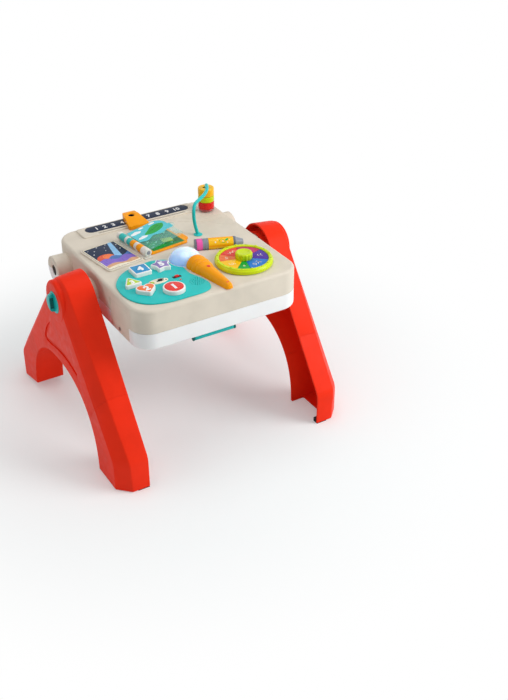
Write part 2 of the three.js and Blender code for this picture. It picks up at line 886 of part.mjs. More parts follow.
// The raised base under the left card, with the recess that the card lies in.
function cardBase() {
  const outline = (draw) =>
    roundedRect(
      [cardLeftX - cardRim + draw, cardRightX + cardRim - draw],
      [cardFrontY - cardRim + draw, cardBackY + cardRim - draw],
      cardCornerR,
    );
  const levels = [
    [outline(0), ceilingZ + shellWall / 2],
    [outline(0), deckZ + cardBaseRise - gap],
    [outline(gap), deckZ + cardBaseRise],
  ];
  const recess = prism(
    roundedRect([cardLeftX - gap, cardRightX + gap], [cardFrontY - gap, cardBackY + gap], cardRim),
    "z",
    deckZ + cardBaseRise - cardThickness - gap,
    deckZ + cardBaseRise + overrun,
  );
  return {
    base: inUnit(stack(levels), bookPlace, bookTurn),
    recess: inUnit(recess, bookPlace, bookTurn),
  };
}

// The doorway for the batteries, through the left wall of both shells.
function doorway() {
  return box(
    [-unitHalfX - overrun, -unitHalfX + shellWall + overrun / 4],
    [doorFrontY - gap, doorBackY + gap],
    [doorBottomZ - gap, doorTopZ + gap],
  );
}

function topShell() {
  const outer = stack([[unitOutline(0), seamZ - overrun], ...roundedEdge(unitOutline, deckZ, deckEdgeR)]);
  const hollow = prism(unitOutline(shellWall), "z", seamZ - 2 * overrun, ceilingZ);
  const card = cardBase();
  const panel = prism(panelOutline, "z", ceilingZ + shellWall / 2, panelTopZ);
  const shell = join(cut(outer, hollow), cut(join(...bosses(0)), ...bosses(shellWall)), panel, card.base);
  const body = join(shell, ...posts(true), ...boardPosts(), ...lampPosts());
  return cut(common(body, seamHalf(true)), doorway(), card.recess, ...lockBores(), ...deckOpenings());
}

// Every hole through the deck, each from the piece that goes through it.
function deckOpenings() {
  return [
    ...buttonShapes().map(({ outline }) => prism(inset(outline, -slack), "z", ...throughDeck)),
    ...switchPlaces().map((place) => switchSlot(place)),
    domeOpening(),
    rollerWell(),
    rod("z", wheelCentre(), wheelAxleR + gap, ...throughDeck, smallSteps),
    stripRecess(),
    sliderSlot(),
    ...rodFeet().map(({ x, y }) => rod("z", [x, y], rodR + gap, ...throughDeck, smallSteps)),
  ];
}

function bottomShell() {
  const outer = stack([
    [unitOutline(bottomEdgeR), unitBottomZ],
    [unitOutline(bottomEdgeR / 4), unitBottomZ + bottomEdgeR / 4],
    [unitOutline(0), unitBottomZ + bottomEdgeR],
    [unitOutline(0), seamZ + overrun],
  ]);
  const hollow = stack([
    [unitOutline(bottomEdgeR + shellWall), unitBottomZ + shellWall],
    [unitOutline(shellWall), unitBottomZ + shellWall + bottomEdgeR],
    [unitOutline(shellWall), seamZ + 2 * overrun],
  ]);
  const sideBosses = cut(join(...bosses(0)), ...bosses(shellWall));
  const body = join(cut(outer, hollow), sideBosses, ...posts(false), ...clipLugs());
  return cut(common(body, seamHalf(false)), doorway(), ...lockBores(), clipPinBore());
}

// Number track

function stripRecess() {
  const half = stripHalfY + gap;
  const outline = roundedRect([-stripHalfX - gap, stripHalfX + gap], [stripY - half, stripY + half], half);
  return prism(outline, "z", panelTopZ - stripThickness - gap, panelTopZ + overrun);
}

function sliderSlot() {
  const x = [sliderX - sliderLeft - neckHalfX - slack, sliderX + sliderRight + neckHalfX + slack];
  return box(x, [slotY - slotHalfY, slotY + slotHalfY], [ceilingZ - overrun, panelTopZ + overrun]);
}

function slider() {
  const bottomZ = panelTopZ + gap;
  const profile = [
    point(sliderFrontY, deckZ + slack),
    point(panelFrontY - slack, deckZ + slack),
    point(panelFrontY - slack, bottomZ),
    point(sliderBackY, bottomZ),
    point(sliderBackY, deckZ + sliderHeight),
    point(stripY, deckZ + sliderHeight),
    point(sliderFrontY, deckZ + sliderNose),
  ];
  const plan = roundedPolygon(
    [
      point(sliderX - sliderFrontHalf, sliderFrontY),
      point(sliderX + sliderFrontHalf, sliderFrontY),
      point(sliderX + sliderBackHalf, sliderBackY),
      point(sliderX - sliderBackHalf, sliderBackY),
    ],
    shapeCornerR,
    cornerSteps,
  );
  const outer = prism(plan, "z", deckZ, deckZ + sliderHeight + overrun);
  const side = prism(profile, "x", sliderX - sliderFrontHalf - overrun, sliderX + sliderFrontHalf + overrun);
  const window = rod("z", [sliderX, stripY], sliderWindowR, deckZ, deckZ + sliderHeight + overrun);
  const neck = box(
    [sliderX - neckHalfX, sliderX + neckHalfX],
    [slotY - neckHalfY, slotY + neckHalfY],
    [ceilingZ - gap - retainerThickness, bottomZ + gap],
  );
  return join(cut(common(outer, side), window), neck);
}

function sliderRetainer() {
  const z = [ceilingZ - gap - retainerThickness, ceilingZ - gap];
  const plate = box(
    [sliderX - retainerHalfX, sliderX + retainerHalfX],
    [slotY - retainerHalfY, slotY + retainerHalfY],
    z,
  );
  const hole = box(
    [sliderX - neckHalfX - gap, sliderX + neckHalfX + gap],
    [slotY - neckHalfY - gap, slotY + neckHalfY + gap],
    [z[0] - overrun, z[1] + overrun],
  );
  return cut(plate, hole);
}

function buildNumberTrack() {
  const outline = roundedRect(
    [-stripHalfX, stripHalfX],
    [stripY - stripHalfY, stripY + stripHalfY],
    stripHalfY,
  );
  node("number_strip", prism(outline, "z", panelTopZ - stripThickness, panelTopZ), navy);
  node("number_slider", slider(), orange);
  node("slider_retainer", sliderRetainer(), white);
}

// Picture book, in its own turned frame with the spine along its y axis

const spineLength = spineBackY - spineFrontY;
const knuckleY = (i) => spineFrontY + knuckleEndShares[i] * spineLength;
const knuckleZ = [0, spinePinZ];

// The knuckle between two of the spine's divisions, with its bore for the pin.
function knuckle(i, radius) {
  const y = [knuckleY(i) + gap, knuckleY(i + 1) - gap];
  return rod("y", knuckleZ, radius, ...y, 2 * smallSteps);
}

const pinBore = (from, to) => rod("y", knuckleZ, knuckleBoreR, from, to, smallSteps);

function bookSpine() {
  const barZ = [deckZ + gap, deckZ + gap + spineBarThickness - gap];
  const bar = box([-spineHalf, spineHalf], [spineFrontY, spineBackY], barZ);
  const fixed = [0, 2, 5, 7].flatMap((i) => {
    const y = [knuckleY(i) + gap, knuckleY(i + 1) - gap];
    const web = box([-knuckleR / 2, knuckleR / 2], y, [barZ[0], spinePinZ]);
    return [knuckle(i, knuckleR + gap), web];
  });
  return cut(join(bar, ...fixed), pinBore(spineFrontY + shellWall, spineBackY - shellWall));
}

// A page's outline in its frame: a rounded sheet with one tab.
function pageSheet(thickness, z, farX) {
  const outline = roundedRect([spineHalf + slack, farX], [pageFrontY, pageBackY], pageCornerR);
  return prism(outline, "z", z, z + thickness);
}

const framePageZ = deckZ + slack;

function framePage() {
  const sheet = pageSheet(framePageThickness, framePageZ, pageFarX);
  const tab = prism(
    roundedRect(
      [pageFarX - pageCornerR, pageFarX + frameTabReach],
      [frameTabFrontY, frameTabBackY],
      pageCornerR,
    ),
    "z",
    framePageZ,
    framePageZ + framePageThickness,
  );
  const topZ = framePageZ + framePageThickness;
  const arms = [1, 3].flatMap((i) => {
    const y = [knuckleY(i) + gap, knuckleY(i + 1) - gap];
    const side = [
      point(0, spinePinZ - knuckleR),
      point(-spineHalf - slack, spinePinZ - knuckleR),
      point(-spineHalf - slack, framePageZ),
      point(-spineHalf - 2 * framePageThickness, framePageZ),
      point(-spineHalf - 2 * framePageThickness, topZ),
      point(-knuckleR, spinePinZ),
      point(0, spinePinZ),
    ];
    return [knuckle(i, knuckleR), prism(side, "y", ...y)];
  });
  const picture = prism(
    roundedRect(
      [spineHalf + 2 * framePageRim - gap, pageFarX - framePageRim + gap],
      [pageFrontY + framePageRim - gap, pageBackY - framePageRim + gap],
      gap + pictureThickness,
    ),
    "z",
    topZ - pictureThickness - gap,
    topZ + overrun,
  );
  return cut(join(sheet, tab, ...arms), picture, pinBore(spineFrontY, spineBackY));
}

function pagePicture() {
  const outline = roundedRect(
    [spineHalf + 2 * framePageRim, pageFarX - framePageRim],
    [pageFrontY + framePageRim, pageBackY - framePageRim],
    pictureThickness,
  );
  const topZ = framePageZ + framePageThickness;
  return prism(outline, "z", topZ - pictureThickness, topZ);
}

// The upper page lies raised about the pin, so it is made flat at the pin's height and turned up.
function flipPage() {
  const half = flipPageThickness / 2;
  const sheet = prism(
    roundedRect([knuckleR / 2, pageFarX - frameTabReach], [pageFrontY, pageBackY], pageCornerR),
    "z",
    -half,
    half,
  );
  const tabOutline = circle(pageFarX - frameTabReach, flipTabY, flipTabR, smallSteps);
  const tab = prism(tabOutline, "z", -half, half);
  const others = [0, 1, 2, 3, 5, 7].map((i) => {
    const y = [knuckleY(i) - gap, knuckleY(i + 1) + gap];
    return rod("y", [0, 0], knuckleR + 2 * slack, ...y, smallSteps * 2);
  });
  const knuckles = [4, 6].map((i) => {
    const y = [knuckleY(i) + gap, knuckleY(i + 1) - gap];
    return rod("y", [0, 0], knuckleR, ...y, 2 * smallSteps);
  });
  const bore = rod("y", [0, 0], knuckleBoreR, spineFrontY, spineBackY, smallSteps);
  const page = cut(join(cut(join(sheet, tab), ...others), ...knuckles), bore);
  return toGeometry(page).rotateY(-flipPageRaise).translate(0, 0, spinePinZ);
}

function buildBook() {
  const book = turnedGroup(bookPlace, bookTurn);
  const cardTopZ = deckZ + cardBaseRise;
  const card = prism(
    roundedRect([cardLeftX, cardRightX], [cardFrontY, cardBackY], cardRim),
    "z",
    cardTopZ - cardThickness,
    cardTopZ,
  );
  const pinY = [spineFrontY + shellWall + gap, spineBackY - shellWall - gap];
  node("left_card", card, navy, book);
  node("book_spine", bookSpine(), white, book);
  node("page_pin", rod("y", knuckleZ, pagePinR, ...pinY, smallSteps), steel, book);
  node("frame_page", framePage(), orange, book);
  node("page_picture", pagePicture(), green, book);
  node("flip_page", flipPage(), teal, book);
}

// Light and its cone

const domeCentre = () => onDeck(domePlaceShares).toArray();

function domeOpening() {
  return rod("z", domeCentre(), domeR + slack, ...throughDeck);
}

function dome() {
  const profile = (radius, height, flangeR) => {
    const points = [[flangeR, ceilingZ - gap - flangeThickness]];
    for (let i = 0; i <= 2 * edgeSteps; i++) {
      const angle = ((Math.PI / 2) * i) / (2 * edgeSteps);
      points.push([radius * Math.cos(angle), deckZ + domeBaseThickness + height * Math.sin(angle)]);
    }
    points[points.length - 1][0] = 0;
    return points;
  };
  const outer = profile(domeR, domeHeight - domeBaseThickness, domeR);
  const inner = profile(domeR - domeWall, domeHeight - domeBaseThickness - domeWall, domeR - domeWall);
  const bulb = turned([[0, outer[0][1]], ...outer], "z", domeCentre());
  const mouthZ = inner[0][1] - overrun;
  const hollow = turned([[0, mouthZ], [inner[0][0], mouthZ], ...inner], "z", domeCentre());
  const flangeZ = [ceilingZ - gap - flangeThickness, ceilingZ - gap];
  const flange = rod("z", domeCentre(), domeR + slack + flangeLip, ...flangeZ);
  return cut(join(bulb, flange), hollow);
}

// A D-shaped section across the cone: flat on the deck and round above it.
function coneSection(share, drawn) {
  const [along, width, height] = share;
  const half = coneHalfWidth * width - drawn;
  const rise = coneHeight * height - drawn;
  const floorZ = deckZ + gap - (drawn > 0 ? overrun : 0);
  const ring = [];
  for (let i = 0; i <= smallSteps; i++) {
    const angle = (Math.PI * i) / smallSteps;
    const z = deckZ + gap + rise * Math.sin(angle);
    ring.push(new THREE.Vector3(half * Math.cos(angle), -along * coneLength, z));
  }
  if (drawn > 0) {
    ring.unshift(new THREE.Vector3(half, -along * coneLength, floorZ));
    ring.push(new THREE.Vector3(-half, -along * coneLength, floorZ));
  }
  return ring;
}

function cone() {
  const sides = planCap((p) => point(p.x, p.z));
  const outer = loft(coneSectionShares.map((share) => coneSection(share, 0)), sides);
  const inner = coneSectionShares.slice(1, -2).map((share) => coneSection(share, coneWall));
  const place = onDeck(conePlaceShares);
  const body = cut(
    inUnit(outer, place, coneTurn),
    inUnit(loft(inner, sides), place, coneTurn),
    domeClearance(),
  );
  return body;
}

// The dome's space, with room for its travel.
function domeClearance() {
  const profile = [[0, ceilingZ], [domeBaseR + gap, ceilingZ]];
  profile.push([domeBaseR + gap, deckZ + gap + domeBaseThickness + gap]);
  for (let i = 0; i <= 2 * edgeSteps; i++) {
    const angle = ((Math.PI / 2) * i) / (2 * edgeSteps);
    const rise = domeHeight - domeBaseThickness + slack;
    const z = deckZ + 2 * gap + domeBaseThickness + rise * Math.sin(angle);
    profile.push([(domeR + slack) * Math.cos(angle), z]);
  }
  profile[profile.length - 1][0] = 0;
  return turned(profile, "z", domeCentre());
}

function lampBoard() {
  const [x, y] = domeCentre();
  const spanX = [x - lampBoardHalfX, x + lampBoardHalfX];
  const board = box(spanX, [y - lampBoardHalfY, y + lampBoardHalfY], [boardTopZ - boardThickness, boardTopZ]);
  return join(
    board,
    rod("z", [x, y], ledR, boardTopZ - boardThickness / 2, boardTopZ + ledHeight, smallSteps),
  );
}

function lampPosts() {
  const [x, y] = domeCentre();
  const reach = lampBoardHalfY - boardPostR / 2;
  return [-reach, reach].map((shift) =>
    rod("z", [x, y + shift], boardPostR / 2, boardTopZ + gap, ceilingZ + shellWall / 2, smallSteps),
  );
}

function domeRing() {
  const [x, y] = domeCentre();
  const profile = [
    [domeR + slack, deckZ + gap],
    [domeBaseR, deckZ + gap],
    [domeBaseR, deckZ + gap + domeBaseThickness / 2],
    [domeBaseR - domeBaseThickness / 2, deckZ + gap + domeBaseThickness],
    [domeR + slack, deckZ + gap + domeBaseThickness],
    [domeR + slack, deckZ + gap],
  ];
  return turned(profile, "z", [x, y]);
}

function buildLight() {
  node("light_dome", dome(), paleBlue);
  node("light_collar", domeRing(), white);
  node("light_cone", cone(), orange);
  node("lamp_board", lampBoard(), boardGreen);
}

// Control plate, buttons and switches

// Two round lobes on a square that stands on its corner, with the tip rounded.
function heartOutline(half) {
  const quarter = Math.PI / 2;
  const lobeR = half / (1 + Math.SQRT1_2);
  const reach = lobeR * Math.SQRT1_2;
  const tipY = (shapeCornerR - lobeR) * Math.SQRT2;
  return [
    ...arc(reach, reach, lobeR, -quarter / 2, 1.5 * quarter, 2 * cornerSteps),
    ...arc(-reach, reach, lobeR, quarter / 2, 2.5 * quarter, 2 * cornerSteps).slice(1),
    ...arc(0, tipY, shapeCornerR, 2.5 * quarter, 3.5 * quarter, cornerSteps),
  ];
}

function starOutline(radius) {
  const corners = [];
  for (let i = 0; i < 10; i++) {
    const angle = Math.PI / 2 + (Math.PI * i) / 5;
    const reach = i % 2 ? radius * starWaistShare : radius;
    corners.push(point(reach * Math.cos(angle), reach * Math.sin(angle)));
  }
  return roundedPolygon(corners, starCornerR, edgeSteps);
}

function triangleOutline(radius) {
  return roundedPolygon(arc(0, 0, radius, Math.PI / 2, Math.PI / 2 + 2 * thirdTurn, 2), shapeCornerR, cornerSteps);
}

function buttonShapes() {
  const outlines = [
    circle(0, 0, roundButtonR),
    heartOutline(heartHalf),
    triangleOutline(triangleR),
    roundedRect([-squareHalf, squareHalf], [-squareHalf, squareHalf], shapeCornerR),
    starOutline(starR),
  ];
  return outlines.map((outline, i) => {
    const place = onDeck(buttonPlaceShares[i]);
    return { name: "button_" + (i + 1), outline: outline.map((p) => p.clone().add(place)) };
  });
}

function button(outline) {
  const topZ = plateTopZ + buttonRise;
  const footZ = ceilingZ - gap - flangeThickness;
  const cap = stack([
    [outline, footZ],
    [outline, topZ - buttonBevel],
    [inset(outline, buttonBevel / 2), topZ],
  ]);
  const flange = prism(inset(outline, -slack - flangeLip), "z", footZ, ceilingZ - gap);
  return join(cap, flange);
}

const switchPlaces = () => switchPlaceShares.map(onDeck);

function switchSlot({ x, y }) {
  const half = [switchTravel + switchHalfX - 2 * gap, switchNeckHalf + slack];
  return box(
    [x - half[0], x + half[0]],
    [y - half[1], y + half[1]],
    [ceilingZ - overrun, plateTopZ + overrun],
  );
}

function slideSwitch({ x, y }) {
  const neckHalf = switchHalfX - 2 * gap - slack;
  const topZ = plateTopZ + gap;
  const cap = box(
    [x - switchHalfX, x + switchHalfX],
    [y - switchHalfY, y + switchHalfY],
    [topZ, topZ + switchRise],
  );
  const neck = box(
    [x - neckHalf, x + neckHalf],
    [y - switchNeckHalf, y + switchNeckHalf],
    [ceilingZ - gap - flangeThickness, topZ + gap],
  );
  const foot = box(
    [x - neckHalf, x + neckHalf],
    [y - switchNeckHalf - flangeLip, y + switchNeckHalf + flangeLip],
    [ceilingZ - gap - flangeThickness, ceilingZ - gap],
  );
  return join(cap, neck, foot);
}

function grilleHoles() {
  const { x, y } = onDeck(grillePlaceShare);
  const places = [[x, y]];
  for (let ring = 1; ring <= grilleRings; ring++) {
    for (let i = 0; i < grilleSides * ring; i++) {
      const angle = (2 * Math.PI * i) / (grilleSides * ring);
      places.push([x + grillePitch * ring * Math.cos(angle), y + grillePitch * ring * Math.sin(angle)]);
    }
  }
  const z = [plateZ - overrun / 2, plateTopZ + overrun];
  return places.map((place) => rod("z", place, grilleHoleR, ...z, grilleSides));
}

function controlPlate() {
  const through = plateOutlineShares.map(onDeck).map((p) => new THREE.Vector3(p.x, p.y, 0));
  const curve = new THREE.CatmullRomCurve3(through.reverse(), true).getPoints(plateOutlineSteps).slice(0, -1);
  const outline = curve.map((p) => point(p.x, p.y));
  const plate = stack([
    [outline, plateZ],
    [outline, plateTopZ - plateBevel],
    [inset(outline, plateBevel), plateTopZ],
  ]);
  const holes = buttonShapes().map(({ outline: shape }) =>
    prism(inset(shape, -slack), "z", plateZ - overrun, plateTopZ + overrun),
  );
  const collar = rod("z", domeCentre(), domeBaseR + gap, plateZ - overrun, plateTopZ + overrun);
  return cut(plate, ...holes, ...switchPlaces().map(switchSlot), ...grilleHoles(), collar);
}

function speaker() {
  const { x, y } = onDeck(grillePlaceShare);
  const topZ = ceilingZ - gap;
  const profile = [
    [0, topZ - speakerDepth],
    [magnetR, topZ - speakerDepth],
    [magnetR, topZ - speakerDepth / 2],
    [speakerR, topZ - speakerDepth / 4],
    [speakerR, topZ],
    [0, topZ],
  ];
  return turned(profile, "z", [x, y]);
}

function buildControls() {
  node("control_plate", controlPlate(), teal);
  const colours = [red, orange, lime, blue, purple];
  buttonShapes().forEach(({ name, outline }, i) => node(name, button(outline), colours[i]));
  const [power, volume] = switchPlaces();
  node("power_switch", slideSwitch(power), black);
  node("volume_switch", slideSwitch(volume), black);
  node("speaker", speaker(), black);
  const corners = boardSpanShares.map(onDeck);
  const boardZ = [boardTopZ - boardThickness, boardTopZ];
  const board = box([corners[0].x, corners[1].x], [corners[0].y, corners[1].y], boardZ);
  node("circuit_board", board, boardGreen);
}

// Pencil roller, in its own turned frame with its axis along x

const rollerPlace = onDeck(rollerPlaceShares);
const rollerAxis = [0, deckZ + rollerRise];
const barrelStart = rollerHalfLength * eraserEndShare;
const barrelEnd = rollerHalfLength * barrelEndShare;

function rollerWell() {
  const half = Math.sqrt(rollerR ** 2 - rollerRise ** 2) + 2 * slack;
  const well = box(
    [-rollerHalfLength + rollerCap, barrelEnd],
    [-half, half],
    throughDeck,
  );
  return inUnit(well, rollerPlace, rollerTurn);
}

// A round length of the roller with the axle's bore through it.
function rollerPiece(profile) {
  const bore = rod("x", rollerAxis, rollerAxleR + slack, -rollerHalfLength, rollerHalfLength, smallSteps);
  return cut(turned(profile, "x", rollerAxis, 2 * smallSteps), bore);
}

function buildRoller() {
  const group = turnedGroup(rollerPlace, rollerTurn);
  const start = -rollerHalfLength + rollerCap + gap;
  const rib = (barrelStart - start) / eraserRibs;
  const eraser = [
    [0, start], [rollerR - slack, start], [rollerR, start + slack],
    [rollerR, barrelStart - 3 * rib], [rollerR - ferruleRib, barrelStart - 3 * rib],
    [rollerR - ferruleRib, barrelStart - 2 * rib], [rollerR, barrelStart - 2 * rib],
    [rollerR, barrelStart - rib], [rollerR - ferruleRib, barrelStart - rib],
    [rollerR - ferruleRib, barrelStart - gap], [0, barrelStart - gap],
  ];
  const barrel = [[0, barrelStart], [rollerR, barrelStart], [rollerR, barrelEnd - gap], [0, barrelEnd - gap]];
  const tip = [
    [0, barrelEnd], [rollerR, barrelEnd], [rollerR, barrelEnd + rollerCap],
    [tipEndR, rollerHalfLength], [0, rollerHalfLength],
  ];
  const aboveDeck = box(
    [-2 * rollerHalfLength, 2 * rollerHalfLength],
    [-2 * rollerR, 2 * rollerR],
    [deckZ + gap, deckZ + 2 * rollerR + rollerRise],
  );
  const capX = [-rollerHalfLength, -rollerHalfLength + rollerCap];
  const cap = common(rod("x", rollerAxis, rollerR - gap, ...capX), aboveDeck);
  const axle = rod(
    "x",
    rollerAxis,
    rollerAxleR,
    -rollerHalfLength + gap,
    rollerHalfLength - 2 * rollerCap,
    smallSteps,
  );
  node("roller_eraser", rollerPiece(eraser), pink, group);
  node("roller_barrel", rollerPiece(barrel), orange, group);
  node("roller_axle", join(cap, axle), black, group);
  const axleHole = rod(
    "x",
    rollerAxis,
    rollerAxleR + gap,
    barrelEnd - overrun,
    rollerHalfLength - 2 * rollerCap + gap,
    smallSteps,
  );
  const tipSolid = common(turned(tip, "x", rollerAxis, 2 * smallSteps), aboveDeck);
  node("roller_tip", cut(tipSolid, axleHole), steel, group);
}

// Spinning wheel

function wheelCentre() {
  const leftX = onDeck(conePlaceShares).x + coneHalfWidth + wheelConeGap;
  const backY = rollerPlace.y - wheelRollerGap;
  return [leftX + wheelR, backY - wheelR];
}

const discTopZ = deckZ + wheelRise - wheelDiscSink;
const discBottomZ = discTopZ - wheelDiscThickness;

function wheelRing() {
  const bottom = deckZ + slack;
  const inner = wheelR - wheelRimWidth;
  const edge = wheelRimWidth / 3;
  const top = deckZ + wheelRise;
  const floorTop = discBottomZ - gap;
  return [
    [wheelBoreR, bottom], [wheelR - edge / 2, bottom], [wheelR, bottom + edge], [wheelR, top - edge],
    [wheelR - edge / 2, top - edge / 4], [wheelR - edge, top],
    [inner + edge / 2, top], [inner, top - edge / 2],
    [inner, floorTop], [inner - wheelFloor, floorTop], [inner - 2 * wheelFloor, bottom + wheelFloor],
    [wheelBoreR, bottom + wheelFloor], [wheelBoreR, bottom],
  ];
}

function wheelKnob() {
  const bottom = discTopZ + gap;
  const top = bottom + wheelKnobHeight;
  const toothed = (draw) => {
    const points = [];
    for (let i = 0; i < 2 * wheelKnobTeeth; i++) {
      const angle = (Math.PI * i) / wheelKnobTeeth;
      const radius = wheelKnobR - draw - (i % 2) * wheelToothDepth;
      points.push(point(radius * Math.cos(angle), radius * Math.sin(angle)));
    }
    return points;
  };
  const draw = wheelKnobR / 4;
  const body = stack([[toothed(0), bottom], [toothed(0), top - draw], [toothed(draw), top]]);
  const [x, y] = wheelCentre();
  const bore = rod("z", [x, y], wheelAxleR + gap, bottom - overrun, top - wheelFloor, smallSteps);
  return cut(body.translate(x, y, 0), bore);
}

function buildWheel() {
  const centre = wheelCentre();
  const discR = wheelR - wheelRimWidth - gap;
  const disc = [
    [wheelBoreR, discBottomZ], [discR, discBottomZ],
    [discR, discTopZ], [wheelBoreR, discTopZ], [wheelBoreR, discBottomZ],
  ];
  const knobTop = discTopZ + gap + wheelKnobHeight;
  const axle = join(
    rod("z", centre, wheelAxleR, ceilingZ - gap - flangeThickness, knobTop - wheelFloor - gap, smallSteps),
    rod("z", centre, 2 * wheelAxleR, ceilingZ - gap - flangeThickness, ceilingZ - gap, smallSteps),
  );
  node("wheel_ring", turned(wheelRing(), "z", centre, wheelSteps), lime);
  node("wheel_disc", turned(disc, "z", centre), orange);
  node("wheel_knob", wheelKnob(), lime);
  node("wheel_axle", axle, steel);
}

// Bead run

const rodFeet = () => [onDeck(rodFrontShares), onDeck(rodBackShares)];

// The rod's middle line: up from the front foot, over, and down to the back foot, bowed to the sides.
function rodLine() {
  const [front, back] = rodFeet();
  const span = back.clone().sub(front);
  const reach = span.length();
  const ahead = span.normalize();
  const leg = rodTop - rodBendR;
  const track = [[0, -shellWall], ...rodLegShares.map((share) => [0, share * leg])];
  const quarter = Math.PI / 2;
  const firstBend = arc(rodBendR, leg, rodBendR, Math.PI, quarter, cornerSteps).slice(1);
  for (const p of firstBend) track.push([p.x, p.y]);
  for (const share of rodSpanShares) track.push([rodBendR + share * (reach - 2 * rodBendR), rodTop]);
  for (const p of arc(reach - rodBendR, leg, rodBendR, quarter, 0, cornerSteps)) track.push([p.x, p.y]);
  track.push([reach, leg / 2], [reach, 0], [reach, -shellWall]);
  const lead = leg + rodBendR + reach - rodBendR;
  return track.map(([along, height]) => {
    const travelled = along === 0 ? Math.max(height, 0) : Math.min(leg + along, lead);
    const side = along === reach ? 0 : rodBulge * Math.sin((2 * Math.PI * travelled) / lead);
    const place = front.clone().addScaledVector(ahead, along).addScaledVector(point(-ahead.y, ahead.x), side);
    return new THREE.Vector3(place.x, place.y, deckZ + height);
  });
}

// A tube through points. Each ring stands across the line, with its first point towards one side.
function tubeAlong(line, side, radius) {
  const rings = line.map((centre, i) => {
    const ahead = line[Math.min(i + 1, line.length - 1)].clone().sub(line[Math.max(i - 1, 0)]).normalize();
    const up = new THREE.Vector3().crossVectors(ahead, side).normalize();
    const out = new THREE.Vector3().crossVectors(up, ahead);
    const onRing = (p) => centre.clone().addScaledVector(out, p.x).addScaledVector(up, p.y);
    return circle(0, 0, radius, rodSides).map(onRing);
  });
  return loft(rings, fanCap);
}

function beadRod() {
  const flanges = rodFeet().map(({ x, y }) => {
    const profile = [
      [0, deckZ + gap],
      [rodFootR, deckZ + gap],
      [rodFootR, deckZ + rodFootThickness / 2],
      [rodFootR - rodFootThickness / 2, deckZ + rodFootThickness],
      [0, deckZ + rodFootThickness],
    ];
    return turned(profile, "z", [x, y], 2 * smallSteps);
  });
  const [front, back] = rodFeet();
  const side = new THREE.Vector3(front.y - back.y, back.x - front.x, 0).normalize();
  return join(tubeAlong(rodLine(), side, rodR), ...flanges);
}

function beads() {
  const [front, back] = rodFeet();
  const toFront = front.clone().sub(back).normalize();
  const centre = back.clone().addScaledVector(toFront, beadShift).toArray();
  let z = deckZ + beadRestHeight;
  return beadHeightShares.map((share) => {
    const top = z + beadHeight * share;
    const edge = beadEdgeR;
    const profile = [
      [beadBoreR, z + gap / 2], [beadR - edge, z + gap / 2], [beadR - edge / 4, z + edge / 2],
      [beadR, z + edge], [beadR, top - edge], [beadR - edge / 4, top - edge / 2],
      [beadR - edge, top - gap / 2], [beadBoreR, top - gap / 2], [beadBoreR, z + gap / 2],
    ];
    z = top;
    return turned(profile, "z", centre);
  });
}

function buildBeads() {
  node("bead_rod", beadRod(), teal);
  const [low, middle, high] = beads();
  node("bead_red", low, red);
  node("bead_lime", middle, lime);
  node("bead_orange", high, orange);
}

// Batteries

function batteryBox() {
  const wide = cellCount * 2 * (cellR + gap) + 2 * boxWall + gap;
  const nearX = -unitHalfX + shellWall + bottomEdgeR + gap;
  const x = [nearX, nearX + wide];
  const middle = (doorFrontY + doorBackY) / 2;
  const half = cellLength / 2 + cellNipple + 2 * gap + boxWall;
  const y = [middle - half, middle + half];
  const z = [boxFloorZ, boxFloorZ + boxHeight];
  const outer = box(x, y, z);
  const hollow = box(
    [x[0] + boxWall, x[1] - boxWall],
    [y[0] + boxWall, y[1] - boxWall],
    [z[0] + boxWall, z[1] + overrun],
  );
  const holeX = [x[0] - overrun, x[0] + boxWall + overrun];
  const hole = rod("x", doorScrewPlace(), doorScrewShankR + gap, ...holeX, smallSteps);
  return { solid: cut(outer, hollow, hole), x, z, middle };
}

const boxFloorZ = unitBottomZ + shellWall + gap;
const doorScrewPlace = () => [(doorFrontY + doorBackY) / 2, boxFloorZ + boxHeight / 2];

function buildBatteries() {
  const { solid, x, z, middle } = batteryBox();
  node("battery_box", solid, black);
  for (let i = 0; i < cellCount; i++) {
    const centre = [x[0] + boxWall + gap + cellR + i * 2 * (cellR + gap), z[0] + boxWall + gap + cellR];
    const half = cellLength / 2;
    const profile = [
      [0, middle - half], [cellR, middle - half], [cellR, middle + half],
      [cellNippleR, middle + half], [cellNippleR, middle + half + cellNipple],
      [0, middle + half + cellNipple],
    ];
    node("battery_" + (i + 1), turned(profile, "y", [-centre[0], centre[1]], 2 * smallSteps), steel);
  }
  const plate = box(
    [-unitHalfX, -unitHalfX + doorThickness],
    [doorFrontY, doorBackY],
    [doorBottomZ, doorTopZ],
  );
  const [y, screwZ] = doorScrewPlace();
  const through = rod("x", [y, screwZ], doorScrewShankR + gap, -unitHalfX - overrun, 0, smallSteps);
  node("battery_door", cut(plate, through), beige);
  const screw = join(
    rod("x", [y, screwZ], doorScrewR, -unitHalfX - gap - doorScrewRise, -unitHalfX - gap, 2 * smallSteps),
    rod("x", [y, screwZ], doorScrewShankR, -unitHalfX - gap - doorScrewRise / 2, x[0] + boxWall, smallSteps),
  );
  node("battery_door_screw", screw, steel);
}

// Drawing side

const clipAxis = [clipPinY, clipPinZ];
const clipPinEnds = [clipLeftX - gap - lugThickness, clipRightX + gap + lugThickness];

function clipLugs() {
  const lug = (from) => {
    const tall = [clipPinZ - clipBarrelR, unitBottomZ + shellWall / 2];
    return box([from, from + lugThickness], [clipPinY - clipBarrelR, clipPinY + clipBarrelR], tall);
  };
  return [lug(clipPinEnds[0]), lug(clipRightX + gap)];
}

function clipPinBore() {
  return rod("x", clipAxis, clipPinR + gap, clipPinEnds[0] - overrun, clipPinEnds[1] + overrun, smallSteps);
}

